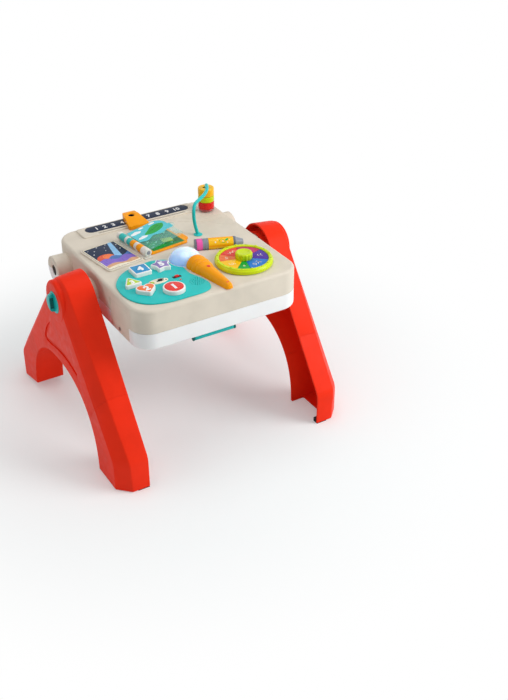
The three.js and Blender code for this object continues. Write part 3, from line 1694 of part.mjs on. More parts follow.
function paperClip() {
  const middle = (clipLeftX + clipRightX) / 2;
  const barrel = rod("x", clipAxis, clipBarrelR, clipLeftX, clipRightX, smallSteps);
  const plateZ = [clipPinZ - clipThickness / 2, clipPinZ + clipThickness / 2];
  const outline = roundedRect(
    [clipLeftX, clipRightX],
    [clipPinY - clipLever, clipPinY + clipReach],
    clipBarrelR,
  );
  const plate = prism(outline, "z", ...plateZ);
  const lipZ = unitBottomZ - 2 * gap - drawThickness;
  const lipY = [clipPinY + clipReach - 2 * clipThickness, clipPinY + clipReach - clipThickness / 2];
  const lip = box([clipLeftX + clipBarrelR, clipRightX - clipBarrelR], lipY, [clipPinZ, lipZ]);
  const springRoom = box(
    [middle - clipSpringHalf, middle + clipSpringHalf],
    [clipPinY - clipLever - overrun, clipPinY + clipBarrelR + slack],
    [plateZ[0] - clipBarrelR, plateZ[1] + clipBarrelR],
  );
  return cut(join(barrel, plate, lip), springRoom, clipPinBore());
}

function clipSpring() {
  const length = 2 * (clipSpringHalf - clipWireR - gap);
  const coil = spring(clipPinR + gap + clipWireR, clipWireR, clipSpringTurns, length);
  coil.translate(clipPinY, clipPinZ, (clipLeftX + clipRightX) / 2 - length / 2);
  return coil.applyMatrix4(axisFrames.x);
}

function drawingBoard() {
  const z = [unitBottomZ - gap - drawThickness, unitBottomZ - gap];
  const board = prism(roundedRect([-drawHalfX, drawHalfX], [drawFrontY, drawBackY], drawCornerR), "z", ...z);
  const grooves = [-drawGrooveX, drawGrooveX].map((x) =>
    box(
      [x - drawGrooveWidth / 2, x + drawGrooveWidth / 2],
      [drawFrontY + drawCornerR, drawBackY - drawCornerR],
      [z[0] - overrun, z[0] + drawGrooveDepth],
    ),
  );
  return cut(board, ...grooves);
}

// The crayon tray on the back wall: it opens downwards here and upwards when the unit is turned over.
function tray() {
  const y = [unitBackY + gap, unitBackY + gap + trayDepth];
  const outline = (draw) => [
    point(-trayHalfX + draw, y[0] + draw),
    point(trayHalfX - draw, y[0] + draw),
    ...arc(trayHalfX - trayCornerR, y[1] - trayCornerR, trayCornerR - draw, 0, Math.PI / 2, cornerSteps),
    ...arc(
      trayCornerR - trayHalfX,
      y[1] - trayCornerR,
      trayCornerR - draw,
      Math.PI / 2,
      Math.PI,
      cornerSteps,
    ),
  ];
  const outer = stack([[outline(0), trayBottomZ], ...roundedEdge(outline, trayTopZ, trayWall)]);
  return cut(outer, prism(outline(trayWall), "z", trayBottomZ - overrun, trayTopZ - trayWall));
}

function buildDrawingSide() {
  node("drawing_board", drawingBoard(), white);
  node("paper_clip", paperClip(), teal);
  node("clip_pin", rod("x", clipAxis, clipPinR, ...clipPinEnds, smallSteps), steel);
  node("clip_spring", clipSpring(), steel);
  node("tray", tray(), teal);
}

buildLegs();
node("top_shell", topShell(), beige);
node("bottom_shell", bottomShell(), white);
buildNumberTrack();
buildBook();
buildLight();
buildControls();
buildRoller();
buildWheel();
buildBeads();
buildBatteries();
buildDrawingSide();

export default table;
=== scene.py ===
"""Dresses the musical activity table for its portrait.

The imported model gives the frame. Each sub-assembly is a class with its sizes in millimetres, which
builds its meshes, gives them their finishes and sets them on the bodies that carry them.
"""

import logging
import math
from collections.abc import Callable, Sequence
from dataclasses import dataclass
from enum import Enum

import bmesh
import bpy
from mathutils import Matrix, Vector


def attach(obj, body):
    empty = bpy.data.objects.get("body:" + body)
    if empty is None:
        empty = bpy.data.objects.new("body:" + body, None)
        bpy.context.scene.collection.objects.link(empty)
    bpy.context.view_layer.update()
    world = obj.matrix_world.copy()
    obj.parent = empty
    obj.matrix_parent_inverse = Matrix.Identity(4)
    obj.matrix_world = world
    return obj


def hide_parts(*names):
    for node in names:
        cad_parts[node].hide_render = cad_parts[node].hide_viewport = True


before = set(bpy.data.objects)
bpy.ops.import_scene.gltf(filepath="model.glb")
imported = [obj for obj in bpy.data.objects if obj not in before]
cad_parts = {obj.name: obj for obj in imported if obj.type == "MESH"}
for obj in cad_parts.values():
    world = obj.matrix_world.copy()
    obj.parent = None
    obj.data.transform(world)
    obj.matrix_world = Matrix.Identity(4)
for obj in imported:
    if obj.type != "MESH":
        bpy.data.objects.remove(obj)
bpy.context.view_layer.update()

LOG = logging.getLogger("activity_table")
MM = 0.001

# In millimetres: the gap at a fixed piece, the gap round a moving one, and how far a cutter reaches
# past what it cuts
FIT = 0.3
SLACK = 0.6
OVERRUN = 4.0

QUARTER = math.pi / 2
TURN = 4 * QUARTER
TINY = 1e-6

# The body of the play unit, and a capital's share of its letters' size
UNIT = "table_unit"
CAPITAL = 0.73

Point = tuple[float, float]
Span = tuple[float, float]
Outline = list[Point]
Ring = list[Vector]
Tree = bpy.types.NodeTree
Socket = bpy.types.NodeSocket


# Colours and materials


def srgb(code: str, share: float = 1.0) -> tuple[float, float, float, float]:
    """Turns an sRGB hex value to a linear colour.

    Args:
        code: The colour as "#RRGGBB".
        share: How much of its light is kept, for the darker and lighter tints of one plastic.

    Returns:
        Red, green, blue and alpha.
    """
    linear = []
    for start in (1, 3, 5):
        value = int(code[start : start + 2], 16) / 255
        value = value / 12.92 if value <= 0.04045 else ((value + 0.055) / 1.055) ** 2.4
        linear.append(min(1.0, value * share))
    return (*linear, 1.0)


def add_node(
    tree: Tree, kind: str, settings: dict | None = None, links: dict | None = None, **attributes: str
) -> bpy.types.Node:
    """Adds a shader node with its settings and links.

    Args:
        tree: The node tree it goes into.
        kind: The node's type name.
        settings: Values by the input's name or number.
        links: Sockets by the input's name or number.
        attributes: The node's own properties.

    Returns:
        The new node.
    """
    node = tree.nodes.new(kind)
    for name, value in attributes.items():
        setattr(node, name, value)
    for name, value in (settings or {}).items():
        node.inputs[name].default_value = value
    for name, socket in (links or {}).items():
        tree.links.new(socket, node.inputs[name])
    return node


def set_stops(node: bpy.types.Node, stops: list[tuple[float, tuple[float, ...]]]) -> None:
    """Gives a colour ramp its stops.

    Args:
        node: The ramp.
        stops: Place and colour of each stop.
    """
    elements = node.color_ramp.elements
    while len(elements) < len(stops):
        elements.new(1.0)
    for element, (place, colour) in zip(elements, stops):
        element.position = place
        element.color = colour


def scale_of(size_mm: float) -> float:
    """The texture scale at which a pattern repeats about every size_mm on the object."""
    return 1000.0 / size_mm


@dataclass(frozen=True)
class Finish:
    """What every finish shares: its name, a slot name, and a patchy colour over a fine grain.

    The tint drifts over some centimetres as it does in moulded parts, the gloss is broken by faint
    scuffs, and the tool's grain shows as a fine bump. A tool's polish is finer than a render shows,
    so the grain is drawn about twice as coarse.
    """

    name: str
    slot: str
    colour: str
    roughness: float = 0.4
    ior: float = 1.53
    drift: float = 0.05
    drift_mm: float = 45.0
    scuff_mm: float = 12.0
    scuff: float = 0.07
    grain_mm: float = 1.4
    grain: float = 0.12
    wave_mm: float = 26.0
    stretch: tuple[float, float, float] = (1.0, 1.0, 1.0)
    shine: float = 0.2

    def constants(self) -> dict[str, object]:
        """Values that are the same all over the surface, for the shader's own sockets."""
        return {"IOR": self.ior, "Specular IOR Level": self.shine}

    def material(self) -> bpy.types.Material:
        """Makes the finish's material once, and gives it back after that.

        Returns:
            The material.
        """
        known = bpy.data.materials.get(self.name)
        if known:
            return known
        material = bpy.data.materials.new(self.name)
        material.use_nodes = True
        tree = material.node_tree
        tree.nodes.clear()
        place = add_node(tree, "ShaderNodeTexCoord").outputs["Object"]
        if self.stretch != (1.0, 1.0, 1.0):
            mapping = add_node(tree, "ShaderNodeMapping", {"Scale": self.stretch}, {"Vector": place})
            place = mapping.outputs["Vector"]
        colour = self.colour_of(tree, place)
        scuffs = add_node(
            tree, "ShaderNodeTexNoise", {"Scale": scale_of(self.scuff_mm), "Detail": 4.0}, {"Vector": place}
        )
        least, most = max(0.03, self.roughness - self.scuff), self.roughness + self.scuff
        span = {"From Min": 0.3, "From Max": 0.7, "To Min": least, "To Max": most}
        rough = add_node(tree, "ShaderNodeMapRange", span, {"Value": scuffs.outputs["Fac"]})
        surface = {"Base Color": colour, "Roughness": rough.outputs["Result"], "Normal": self.bump_of(tree, place)}
        shader = add_node(tree, "ShaderNodeBsdfPrincipled", self.constants(), surface)
        add_node(tree, "ShaderNodeOutputMaterial", None, {"Surface": shader.outputs["BSDF"]})
        material.diffuse_color = srgb(self.colour)
        return material

    def colour_of(self, tree: Tree, place: Socket) -> Socket:
        """The drifting tint.

        Args:
            tree: The material's tree.
            place: The socket with the place on the object.

        Returns:
            The colour socket.
        """
        drift = add_node(
            tree, "ShaderNodeTexNoise", {"Scale": scale_of(self.drift_mm), "Detail": 3.0}, {"Vector": place}
        )
        ramp = add_node(tree, "ShaderNodeValToRGB", None, {"Fac": drift.outputs["Fac"]})
        dark, plain, light = (srgb(self.colour, 1 + step * self.drift) for step in (-1.4, 0, 1))
        set_stops(ramp, [(0.3, dark), (0.5, plain), (0.72, light)])
        return ramp.outputs["Color"]

    def bump_of(self, tree: Tree, place: Socket) -> Socket:
        """The grain and the slight unevenness of the surface.

        Args:
            tree: The material's tree.
            place: The socket with the place on the object.

        Returns:
            The normal socket.
        """
        grain = add_node(
            tree, "ShaderNodeTexNoise", {"Scale": scale_of(self.grain_mm), "Detail": 2.0}, {"Vector": place}
        )
        swell = {"Scale": scale_of(self.wave_mm), "Detail": 1.0}
        wave = add_node(tree, "ShaderNodeTexNoise", swell, {"Vector": place}).outputs["Fac"]
        uneven = add_node(tree, "ShaderNodeBump", {"Strength": 0.12, "Distance": 0.4 * MM}, {"Height": wave})
        heights = {"Height": grain.outputs["Fac"], "Normal": uneven.outputs["Normal"]}
        fine = add_node(tree, "ShaderNodeBump", {"Strength": self.grain, "Distance": 0.15 * MM}, heights)
        return fine.outputs["Normal"]


@dataclass(frozen=True)
class MattAbs(Finish):
    """Spark-eroded ABS: an even grain of about half a millimetre, drawn coarser so that it shows."""

    roughness: float = 0.52
    grain: float = 0.3
    grain_mm: float = 1.7


@dataclass(frozen=True)
class GlossAbs(Finish):
    """Moulded ABS from a polished tool: smooth, with a thin clear reflection over a full colour."""

    roughness: float = 0.34
    coat: float = 0.05
    depth: float = 0.03

    def constants(self) -> dict[str, object]:
        """Coat and a little depth under the surface, as coloured ABS has."""
        depth = {"Subsurface Weight": self.depth, "Subsurface Scale": 2.0 * MM}
        return super().constants() | {"Coat Weight": self.coat, "Coat Roughness": 0.16} | depth


@dataclass(frozen=True)
class PrintedFilm(Finish):
    """A printed film under clear lacquer: flat ink with a faint screen, and a smooth bright gloss."""

    roughness: float = 0.3
    coat: float = 0.05
    drift: float = 0.09
    drift_mm: float = 9.0
    grain_mm: float = 2.2
    grain: float = 0.05

    def constants(self) -> dict[str, object]:
        """The lacquer over the ink."""
        return super().constants() | {"Coat Weight": self.coat, "Coat Roughness": 0.08}


@dataclass(frozen=True)
class ClearStyrene(Finish):
    """Tinted transparent polystyrene: light comes through it, and its edges look deeper."""

    roughness: float = 0.16
    ior: float = 1.59
    through: float = 0.6
    alpha: float = 1.0
    scuff: float = 0.04
    grain: float = 0.03

    def constants(self) -> dict[str, object]:
        """How much light goes through, and its clean surface."""
        return {"IOR": self.ior, "Transmission Weight": self.through, "Coat Weight": 0.2, "Alpha": self.alpha}


@dataclass(frozen=True)
class FrostedDome(Finish):
    """Frosted polypropylene over a blue lamp: milky, with painted light in its colour. A painted highlight makes the
    crown palest, painted shade makes one low side bluer, and a faint emission is a painted glow.
    """

    # The painted shade: its blue, the centre it is measured from, the low side it is painted on and how far it spreads
    shade_blue: str = "#8FBDF8"
    centre: tuple[float, float, float] = (0.0, 0.0, 0.0)
    shaded_side: tuple[float, float, float] = (-0.75, -0.35, -0.55)
    reach_mm: float = 28.0
    cloud_mm: float = 18.0
    roughness: float = 0.2

    def constants(self) -> dict[str, object]:
        """A milky body with some light through it, and a faint painted glow.

        Returns:
            The values.
        """
        depth = {"Transmission Weight": 0.12, "Subsurface Weight": 0.35, "Subsurface Scale": 6.0 * MM}
        # The emission is a painted glow that brightens the dome in its own colour; no lamp lights it from inside
        glow = {"Emission Color": srgb(self.colour), "Emission Strength": 0.16}
        return {"IOR": self.ior, "Coat Weight": 0.4, "Coat Roughness": 0.08} | depth | glow

    def colour_of(self, tree: Tree, place: Socket) -> Socket:
        """Pale where it faces up, as a painted highlight, and bluer towards its shaded side, as painted shade.

        Args:
            tree: The material's tree.
            place: The socket with the place on the object.

        Returns:
            The colour socket.
        """
        centre = tuple(value * MM for value in self.centre)
        offset = add_node(tree, "ShaderNodeVectorMath", {1: centre}, {0: place}, operation="SUBTRACT").outputs["Vector"]
        side = add_node(tree, "ShaderNodeVectorMath", {1: self.shaded_side}, {0: offset}, operation="DOT_PRODUCT")
        patches = {"Scale": scale_of(self.cloud_mm), "Detail": 2.0}
        cloud = add_node(tree, "ShaderNodeTexNoise", patches, {"Vector": place})
        reach = self.reach_mm * MM
        share = add_node(
            tree, "ShaderNodeMapRange", {"From Min": -reach, "From Max": reach}, {"Value": side.outputs["Value"]}
        )
        sides = {0: cloud.outputs["Fac"], 2: share.outputs["Result"]}
        mixed = add_node(tree, "ShaderNodeMath", {1: 0.3}, sides, operation="MULTIPLY_ADD")
        ramp = add_node(tree, "ShaderNodeValToRGB", None, {"Fac": mixed.outputs["Value"]})
        # The palest stop is the painted highlight, and the deepest blue is the painted shade
        set_stops(ramp, [(0.4, srgb("#F3FAFF")), (0.72, srgb(self.colour)), (1.0, srgb(self.shade_blue))])
        return ramp.outputs["Color"]


@dataclass(frozen=True)
class SoftRubber(Finish):
    """Moulded rubber: dark, dull and a little dusty."""

    roughness: float = 0.78
    drift: float = 0.2
    drift_mm: float = 14.0
    grain: float = 0.4


@dataclass(frozen=True)
class DrawnSteel(Finish):
    """Drawn and plated steel: fine lines along the draw, so that highlights stretch."""

    roughness: float = 0.28
    stretch: tuple[float, float, float] = (0.2, 1.0, 1.0)

    def constants(self) -> dict[str, object]:
        """A metal at its default IOR."""
        return {"Metallic": 1.0}


class Colours:
    """The table's finishes, by what they are and where they are used."""

    # ABS from a spark-eroded tool: the grain breaks up the light, so that it looks dry and soft
    deck = MattAbs("beige_grained_abs", "deck", "#DDD3C3")
    # A darker teal that stands as painted shade: in the recess of each lock's grip and at the ends of the clip
    cap = MattAbs("shaded_teal_abs", "knob_teal", "#0F6E6A", grain=0.2)
    dark = MattAbs("dark_grained_abs", "black", "#26282C")

    # ABS from a plain steel tool: broad highlights with soft edges, as large mouldings have
    shell = GlossAbs("white_abs", "drawing_white", "#F1F1F1", roughness=0.42, drift=0.012)
    spine = GlossAbs("warm_white_abs", "white", "#E9E4DA", roughness=0.4)
    legs = GlossAbs("red_abs", "leg_red", "#F5341A", roughness=0.4, drift=0.04, shine=0.05, coat=0.0)
    plate = GlossAbs("teal_gloss_abs", "plate_teal", "#1EC2BE", roughness=0.38)
    eraser = GlossAbs("pink_abs", "pink", "#EC5CAE", roughness=0.45)
    ferrule = GlossAbs("grey_abs", "grey", "#8E929C", roughness=0.35)
    graphite = GlossAbs("slate_abs", "grey", "#6E7480", roughness=0.35)

    # ABS from a polished tool: narrow, bright highlights over a full colour
    rim = GlossAbs("white_gloss_abs", "white", "#F2F1EE", drift=0.015)
    lock = GlossAbs("teal_abs", "knob_teal", "#18B4B0")
    page_knuckle = GlossAbs("teal_hinge_abs", "clear_teal", "#2FBFB8")
    lime = GlossAbs("lime_abs", "lime", "#CDE20A", roughness=0.3)
    orange = GlossAbs("orange_abs", "orange", "#FFA203", roughness=0.34, shine=0.12)
    red = GlossAbs("bead_red_abs", "red", "#E5261B", roughness=0.25)
    yellow = GlossAbs("yellow_abs", "yellow", "#FFC21A", roughness=0.3)

    # Printed and lacquered film: flat inks with a faint screen, under one even gloss
    strip = PrintedFilm("navy_print", "strip_navy", "#182640", shine=0.08, coat=0.0)
    lime_print = PrintedFilm("lime_print", "lime", "#B4D336")
    orange_print = PrintedFilm("orange_print", "orange", "#F5773A")
    red_print = PrintedFilm("red_print", "red", "#E8352A")
    magenta_print = PrintedFilm("magenta_print", "red", "#C02263")
    yellow_print = PrintedFilm("yellow_print", "yellow", "#FFC414")
    cream_print = PrintedFilm("cream_print", "white", "#F3EAD0")
    white_print = PrintedFilm("white_print", "white", "#F7F7F7", drift=0.02)
    blue_print = PrintedFilm("blue_print", "blue", "#1E90C8")
    deep_blue_print = PrintedFilm("deep_blue_print", "blue", "#1C74CC")
    pale_blue_print = PrintedFilm("pale_blue_print", "blue", "#8CC4EE")
    purple_print = PrintedFilm("purple_print", "purple", "#8B78B8")
    violet_print = PrintedFilm("violet_print", "purple", "#44139A")
    night = PrintedFilm("night_print", "picture", "#1B2B47", shine=0.1, coat=0.0)
    hill = PrintedFilm("violet_hill_print", "picture", "#7E63C8")
    far_hill = PrintedFilm("slate_hill_print", "picture", "#3F6FB5")
    sand = PrintedFilm("sand_print", "picture", "#D9A57E")
    ember = PrintedFilm("ember_print", "picture", "#D8502B")
    meadow = PrintedFilm("meadow_print", "picture", "#138A3A")
    grove = PrintedFilm("grove_print", "picture", "#0C6B34")
    leaf = PrintedFilm("leaf_print", "picture", "#10A83C")
    mint_print = PrintedFilm("mint_print", "picture", "#86D9C2")
    sky = PrintedFilm("sky_print", "clear_teal", "#55CBD6", drift=0.05)
    mark = PrintedFilm("dark_print", "black", "#2B2C33")
    sleeve = PrintedFilm("cell_sleeve", "cell", "#5A5F66")

    # Tinted polystyrene: what lies behind it shows through, and its edges look deeper
    clear_red = ClearStyrene("clear_red_styrene", "red", "#F06A70")
    page = ClearStyrene("clear_teal_styrene", "clear_teal", "#8FE3DC", through=0.0, alpha=0.17, drift=0.03)

    # Moulded rubber: hardly a highlight, so that the feet look dull
    pads = SoftRubber("dark_rubber", "pad_dark", "#26272B")

    # Drawn and plated steel: fine lines along the draw stretch its bright highlights
    steel = DrawnSteel("drawn_steel", "steel", "#B9BCC0")

    # Solder mask over glass fibre: a thin gloss over dark patches, where the copper lies below
    board = GlossAbs("solder_mask", "board_green", "#17583A", roughness=0.3, drift=0.2, drift_mm=8.0)


# Shapes


class Axis(Enum):
    """The axis that an outline is extruded along or a profile is turned about."""

    X = "x"
    Y = "y"
    Z = "z"

    def place(self, u: float, v: float, w: float) -> Vector:
        """Puts a point of the outline's plane into the table's frame.

        Args:
            u, v: Its place in the outline's plane.
            w: Its height along the axis.

        Returns:
            The point.
        """
        if self is Axis.X:
            return Vector((w, u, v))
        if self is Axis.Y:
            return Vector((-u, w, v))
        return Vector((u, v, w))


def arc(x: float, y: float, radius: float, start: float, end: float, steps: int) -> Outline:
    """Points on an arc.

    Args:
        x, y: The centre.
        radius: The radius.
        start, end: The angles in radians.
        steps: How many chords.

    Returns:
        The points, ends included.
    """
    angles = [start + (end - start) * i / steps for i in range(steps + 1)]
    return [(x + radius * math.cos(a), y + radius * math.sin(a)) for a in angles]


def about(middle: float, half: float) -> Span:
    """The span from half its length before its middle to half its length after it."""
    return (middle - half, middle + half)


def widened(span: Span, reach: float) -> Span:
    """A span that reaches further at both ends, or less far for a negative reach."""
    return (span[0] - reach, span[1] + reach)


def circle(x: float, y: float, radius: float, steps: int = 64) -> Outline:
    """A full circle's points, once round."""
    return arc(x, y, radius, 0.0, TURN, steps)[:-1]


def oval(x: float, y: float, half_x: float, half_y: float, turn: float = 0.0, steps: int = 40) -> Outline:
    """An ellipse's points.

    Args:
        x, y: The centre.
        half_x, half_y: Half its width and half its height.
        turn: Its turn in radians.
        steps: How many points.

    Returns:
        The outline.
    """
    points = []
    for i in range(steps):
        angle = TURN * i / steps
        u, v = half_x * math.cos(angle), half_y * math.sin(angle)
        points.append((x + u * math.cos(turn) - v * math.sin(turn), y + u * math.sin(turn) + v * math.cos(turn)))
    return points


def rounded_rect(x: Span, y: Span, radius: float, steps: int = 8) -> Outline:
    """A rectangle with round corners.

    Args:
        x, y: Where it starts and ends.
        radius: The corners' radius.
        steps: Chords in each corner.

    Returns:
        The outline, counter-clockwise.
    """
    return [
        *arc(x[1] - radius, y[1] - radius, radius, 0, QUARTER, steps),
        *arc(x[0] + radius, y[1] - radius, radius, QUARTER, 2 * QUARTER, steps),
        *arc(x[0] + radius, y[0] + radius, radius, 2 * QUARTER, 3 * QUARTER, steps),
        *arc(x[1] - radius, y[0] + radius, radius, 3 * QUARTER, 4 * QUARTER, steps),
    ]


def rounded_polygon(corners: Outline, radius: float, steps: int = 6) -> Outline:
    """Rounds each outward corner of a polygon.

    Args:
        corners: The polygon, counter-clockwise.
        radius: The corners' radius.
        steps: Chords in each corner.

    Returns:
        The outline.
    """
    outline: Outline = []
    for i, corner in enumerate(corners):
        here = Vector(corner)
        before = (Vector(corners[i - 1]) - here).normalized()
        after = (Vector(corners[(i + 1) % len(corners)]) - here).normalized()
        if after.x * before.y - after.y * before.x <= 0:
            outline.append(corner)
            continue
        half = math.acos(max(-1.0, min(1.0, before.dot(after)))) / 2
        middle = (before + after).normalized()
        centre = here + middle * radius / math.sin(half)
        facing = math.atan2(-middle.y, -middle.x)
        outline += arc(centre.x, centre.y, radius, facing - QUARTER + half, facing + QUARTER - half, steps)
    return outline


def inset(outline: Outline, distance: float) -> Outline:
    """Moves an outline inwards by a distance, or outwards by a negative one.

    Args:
        outline: The outline, counter-clockwise.
        distance: How far.

    Returns:
        The moved outline, with as many points.
    """
    moved = []
    for i, corner in enumerate(outline):
        here = Vector(corner)
        before = (here - Vector(outline[i - 1])).normalized()
        after = (Vector(outline[(i + 1) % len(outline)]) - here).normalized()
        inward = Vector((-before.y - after.y, before.x + after.x)).normalized()
        shrink = max(0.2, inward.x * -before.y + inward.y * before.x)
        there = here + inward * distance / shrink
        moved.append((there.x, there.y))
    return moved


def smooth_closed(points: Outline, steps: int = 6) -> Outline:
    """A round curve through points, closed on itself.

    Args:
        points: The points it passes through.
        steps: Chords between two of them.

    Returns:
        The curve's points.
    """
    count = len(points)
    curve = []
    for i in range(count):
        four = [Vector(points[(i + k) % count]) for k in (-1, 0, 1, 2)]
        curve += [tuple(between(four, step / steps)) for step in range(steps)]
    return curve


def smooth_open(points: Sequence[Point], steps: int = 6) -> Ring:
    """A round curve through points, from the first to the last.

    Args:
        points: The points it passes through.
        steps: Chords between two of them.

    Returns:
        The curve's points.
    """
    last = len(points) - 1
    curve = []
    for i in range(last):
        four = [Vector(points[max(0, min(last, i + k))]) for k in (-1, 0, 1, 2)]
        if i == 0:
            four[0] = four[1] * 2 - four[2]
        if i == last - 1:
            four[3] = four[2] * 2 - four[1]
        curve += [between(four, step / steps) for step in range(steps)]
    return curve + [Vector(points[last])]


def between(four: list[Vector], share: float) -> Vector:
    """A point on the round curve between the second and the third of four points.

    Args:
        four: The points.
        share: How far from the second to the third.

    Returns:
        The point.
    """
    knots = [0.0]
    for a, b in zip(four, four[1:]):
        knots.append(knots[-1] + max(TINY, (b - a).length) ** 0.5)
    here = knots[1] + (knots[2] - knots[1]) * share
    row = list(four)
    for spans in (((0, 1), (1, 2), (2, 3)), ((0, 2), (1, 3)), ((1, 2),)):
        shares = [(here - knots[low]) / (knots[high] - knots[low]) for low, high in spans]
        row = [a * (1 - t) + b * t for a, b, t in zip(row, row[1:], shares)]
    return row[0]


class Merge(Enum):
    """What is done with the shapes that a shape is combined with."""

    CUT = "DIFFERENCE"
    JOIN = "UNION"
    KEEP = "INTERSECT"


@dataclass
class Shape:
    """A closed surface in millimetres, before it becomes a mesh."""

    points: list[Vector]
    faces: list[tuple[int, ...]]

    @classmethod
    def of(cls, thing: bpy.types.Object) -> "Shape":
        """Reads the shape of an object as its modifiers leave it.

        Args:
            thing: The object, which is in the scene.

        Returns:
            The shape.
        """
        mesh = bpy.data.meshes.new_from_object(thing.evaluated_get(bpy.context.evaluated_depsgraph_get()))
        shape = cls([vertex.co.copy() for vertex in mesh.vertices], [tuple(face.vertices) for face in mesh.polygons])
        bpy.data.meshes.remove(mesh)
        return shape

    def mesh(self, name: str, scale: float = 1.0) -> bpy.types.Mesh:
        """Makes a mesh with its faces turned out.

        Args:
            name: The mesh's name.
            scale: What each length is multiplied by.

        Returns:
            The mesh.
        """
        mesh = bpy.data.meshes.new(name)
        mesh.from_pydata([point * scale for point in self.points], [], self.faces)
        work = bmesh.new()
        work.from_mesh(mesh)
        bmesh.ops.remove_doubles(work, verts=work.verts, dist=1e-4 * scale)
        bmesh.ops.recalc_face_normals(work, faces=work.faces)
        work.to_mesh(mesh)
        work.free()
        return mesh

    def moved(self, place: Matrix) -> "Shape":
        """The shape at another place."""
        return Shape([place @ point for point in self.points], self.faces)

    def mirrored(self) -> "Shape":
        """The shape on the table's other side."""
        flip = [Vector((-point.x, point.y, point.z)) for point in self.points]
        return Shape(flip, [tuple(reversed(face)) for face in self.faces])

    def changed(self, steps: list[dict], helpers: "Sequence[Shape]" = ()) -> "Shape":
        """Runs modifiers over the shape.

        Args:
            steps: For each modifier its kind and settings; "helper" is the number of the other shape.
            helpers: The other shapes that the modifiers use.

        Returns:
            The changed shape.
        """
        scene = bpy.context.scene.collection
        others = []
        for helper in helpers:
            others.append(bpy.data.objects.new("helper", helper.mesh("helper")))
            scene.objects.link(others[-1])
        subject = bpy.data.objects.new("subject", self.mesh("subject"))
        scene.objects.link(subject)
        for step in steps:
            modifier = subject.modifiers.new("step", step["kind"])
            for key, value in step.items():
                if key == "helper":
                    modifier.object = others[value]
                elif key != "kind":
                    setattr(modifier, key, value)
        shape = Shape.of(subject)
        for thing in [subject, *others]:
            mesh = thing.data
            bpy.data.objects.remove(thing)
            bpy.data.meshes.remove(mesh)
        return shape

    def combined(self, merge: Merge, others: "Sequence[Shape]") -> "Shape":
        """Cuts away other shapes, adds them or keeps what they share, one after another.

        Args:
            merge: What is done with them.
            others: The other shapes.

        Returns:
            The result, which is never empty.
        """
        steps = []
        for i in range(len(others)):
            steps.append({"kind": "TRIANGULATE"})
            steps.append({"kind": "BOOLEAN", "operation": merge.value, "solver": "MANIFOLD", "helper": i})
        result = self.changed(steps, others)
        if not result.faces:
            raise ValueError("nothing is left of a shape")
        return result

    def cut(self, *others: "Shape") -> "Shape":
        """The shape without the others."""
        return self.combined(Merge.CUT, others)

    def joined(self, *others: "Shape") -> "Shape":
        """The shape and the others as one."""
        return self.combined(Merge.JOIN, others)

    def common(self, other: "Shape") -> "Shape":
        """What the shape and another share."""
        return self.combined(Merge.KEEP, (other,))

    def bevelled(self, width: float, segments: int = 2, degrees: float = 32.0) -> "Shape":
        """Breaks the sharp edges.

        Args:
            width: The bevel's width.
            segments: Its steps.
            degrees: Edges flatter than this stay.

        Returns:
            The softened shape.
        """
        bevel = {
            "kind": "BEVEL",
            "width": width,
            "segments": segments,
            "limit_method": "ANGLE",
            "angle_limit": math.radians(degrees),
            "use_clamp_overlap": True,
        }
        return self.changed([bevel])


class Side(Enum):
    """The table's two sides. What both have is shaped for the right one."""

    RIGHT = "right"
    LEFT = "left"

    def sided(self, shape: Shape) -> Shape:
        """A shape of the right side, on this one."""
        return shape if self is Side.RIGHT else shape.mirrored()


def gathered(shapes: list[Shape]) -> Shape:
    """Several separate shapes as one, without joining their surfaces.

    Args:
        shapes: The shapes.

    Returns:
        The one shape.
    """
    points: list[Vector] = []
    faces: list[tuple[int, ...]] = []
    for shape in shapes:
        start = len(points)
        points += shape.points
        faces += [tuple(i + start for i in face) for face in shape.faces]
    return Shape(points, faces)


def loft(rings: list[Ring], capped: bool = True) -> Shape:
    """Joins rings of points into a surface.

    Args:
        rings: The rings, each with as many points.
        capped: Whether its two ends are closed.

    Returns:
        The shape.
    """
    count = len(rings[0])
    faces: list[tuple[int, ...]] = []
    for ring in range(len(rings) - 1):
        for i in range(count):
            a, b = ring * count + i, ring * count + (i + 1) % count
            faces.append((a, b, b + count, a + count))
    if capped:
        last = (len(rings) - 1) * count
        faces.append(tuple(reversed(range(count))))
        faces.append(tuple(range(last, last + count)))
    return Shape([point for ring in rings for point in ring], faces)


def towards(corner: Vector, other: Vector, distance: float, limit: float) -> Vector:
    """Where the rounding of a corner starts.

    Args:
        corner: The corner.
        other: Its neighbour on that side.
        distance: How far from the corner it starts.
        limit: The largest share of the way to the neighbour.

    Returns:
        The point.
    """
    way = other - corner
    return corner + way * min(limit, distance / max(TINY, way.length))


def on_bend(start: Vector, corner: Vector, end: Vector, share: float) -> Vector:
    """A point at a share of the way round the bend that rounds a corner."""
    return start * (1 - share) ** 2 + corner * 2 * share * (1 - share) + end * share**2


def softened_rings(rings: list[Ring], radius: float, steps: int = 4) -> list[Ring]:
    """Rounds the edges where rings meet, between the first ring and the last.

    Args:
        rings: The rings.
        radius: How far from an edge the rounding starts.
        steps: Chords in each rounding.

    Returns:
        More rings, with the first and the last as they were.
    """
    soft = [rings[0]]
    for before, here, after in zip(rings, rings[1:], rings[2:]):
        levels = [[] for _ in range(steps + 1)]
        for a, b, c in zip(before, here, after):
            start, end = towards(b, a, radius, 0.48), towards(b, c, radius, 0.48)
            for i, level in enumerate(levels):
                level.append(on_bend(start, b, end, i / steps))
        soft += levels
    return [*soft, rings[-1]]


def edge_levels(radius: float, steps: int) -> list[tuple[float, float]]:
    """The steps of a rounded edge, from the side to the top.

    Args:
        radius: The edge's radius.
        steps: Its chords.

    Returns:
        For each step how far it draws in, and how far it lies below the top.
    """
    levels = []
    for i in range(steps + 1):
        angle = QUARTER * i / steps
        levels.append((radius * (1 - math.cos(angle)), radius * (1 - math.sin(angle))))
    return levels


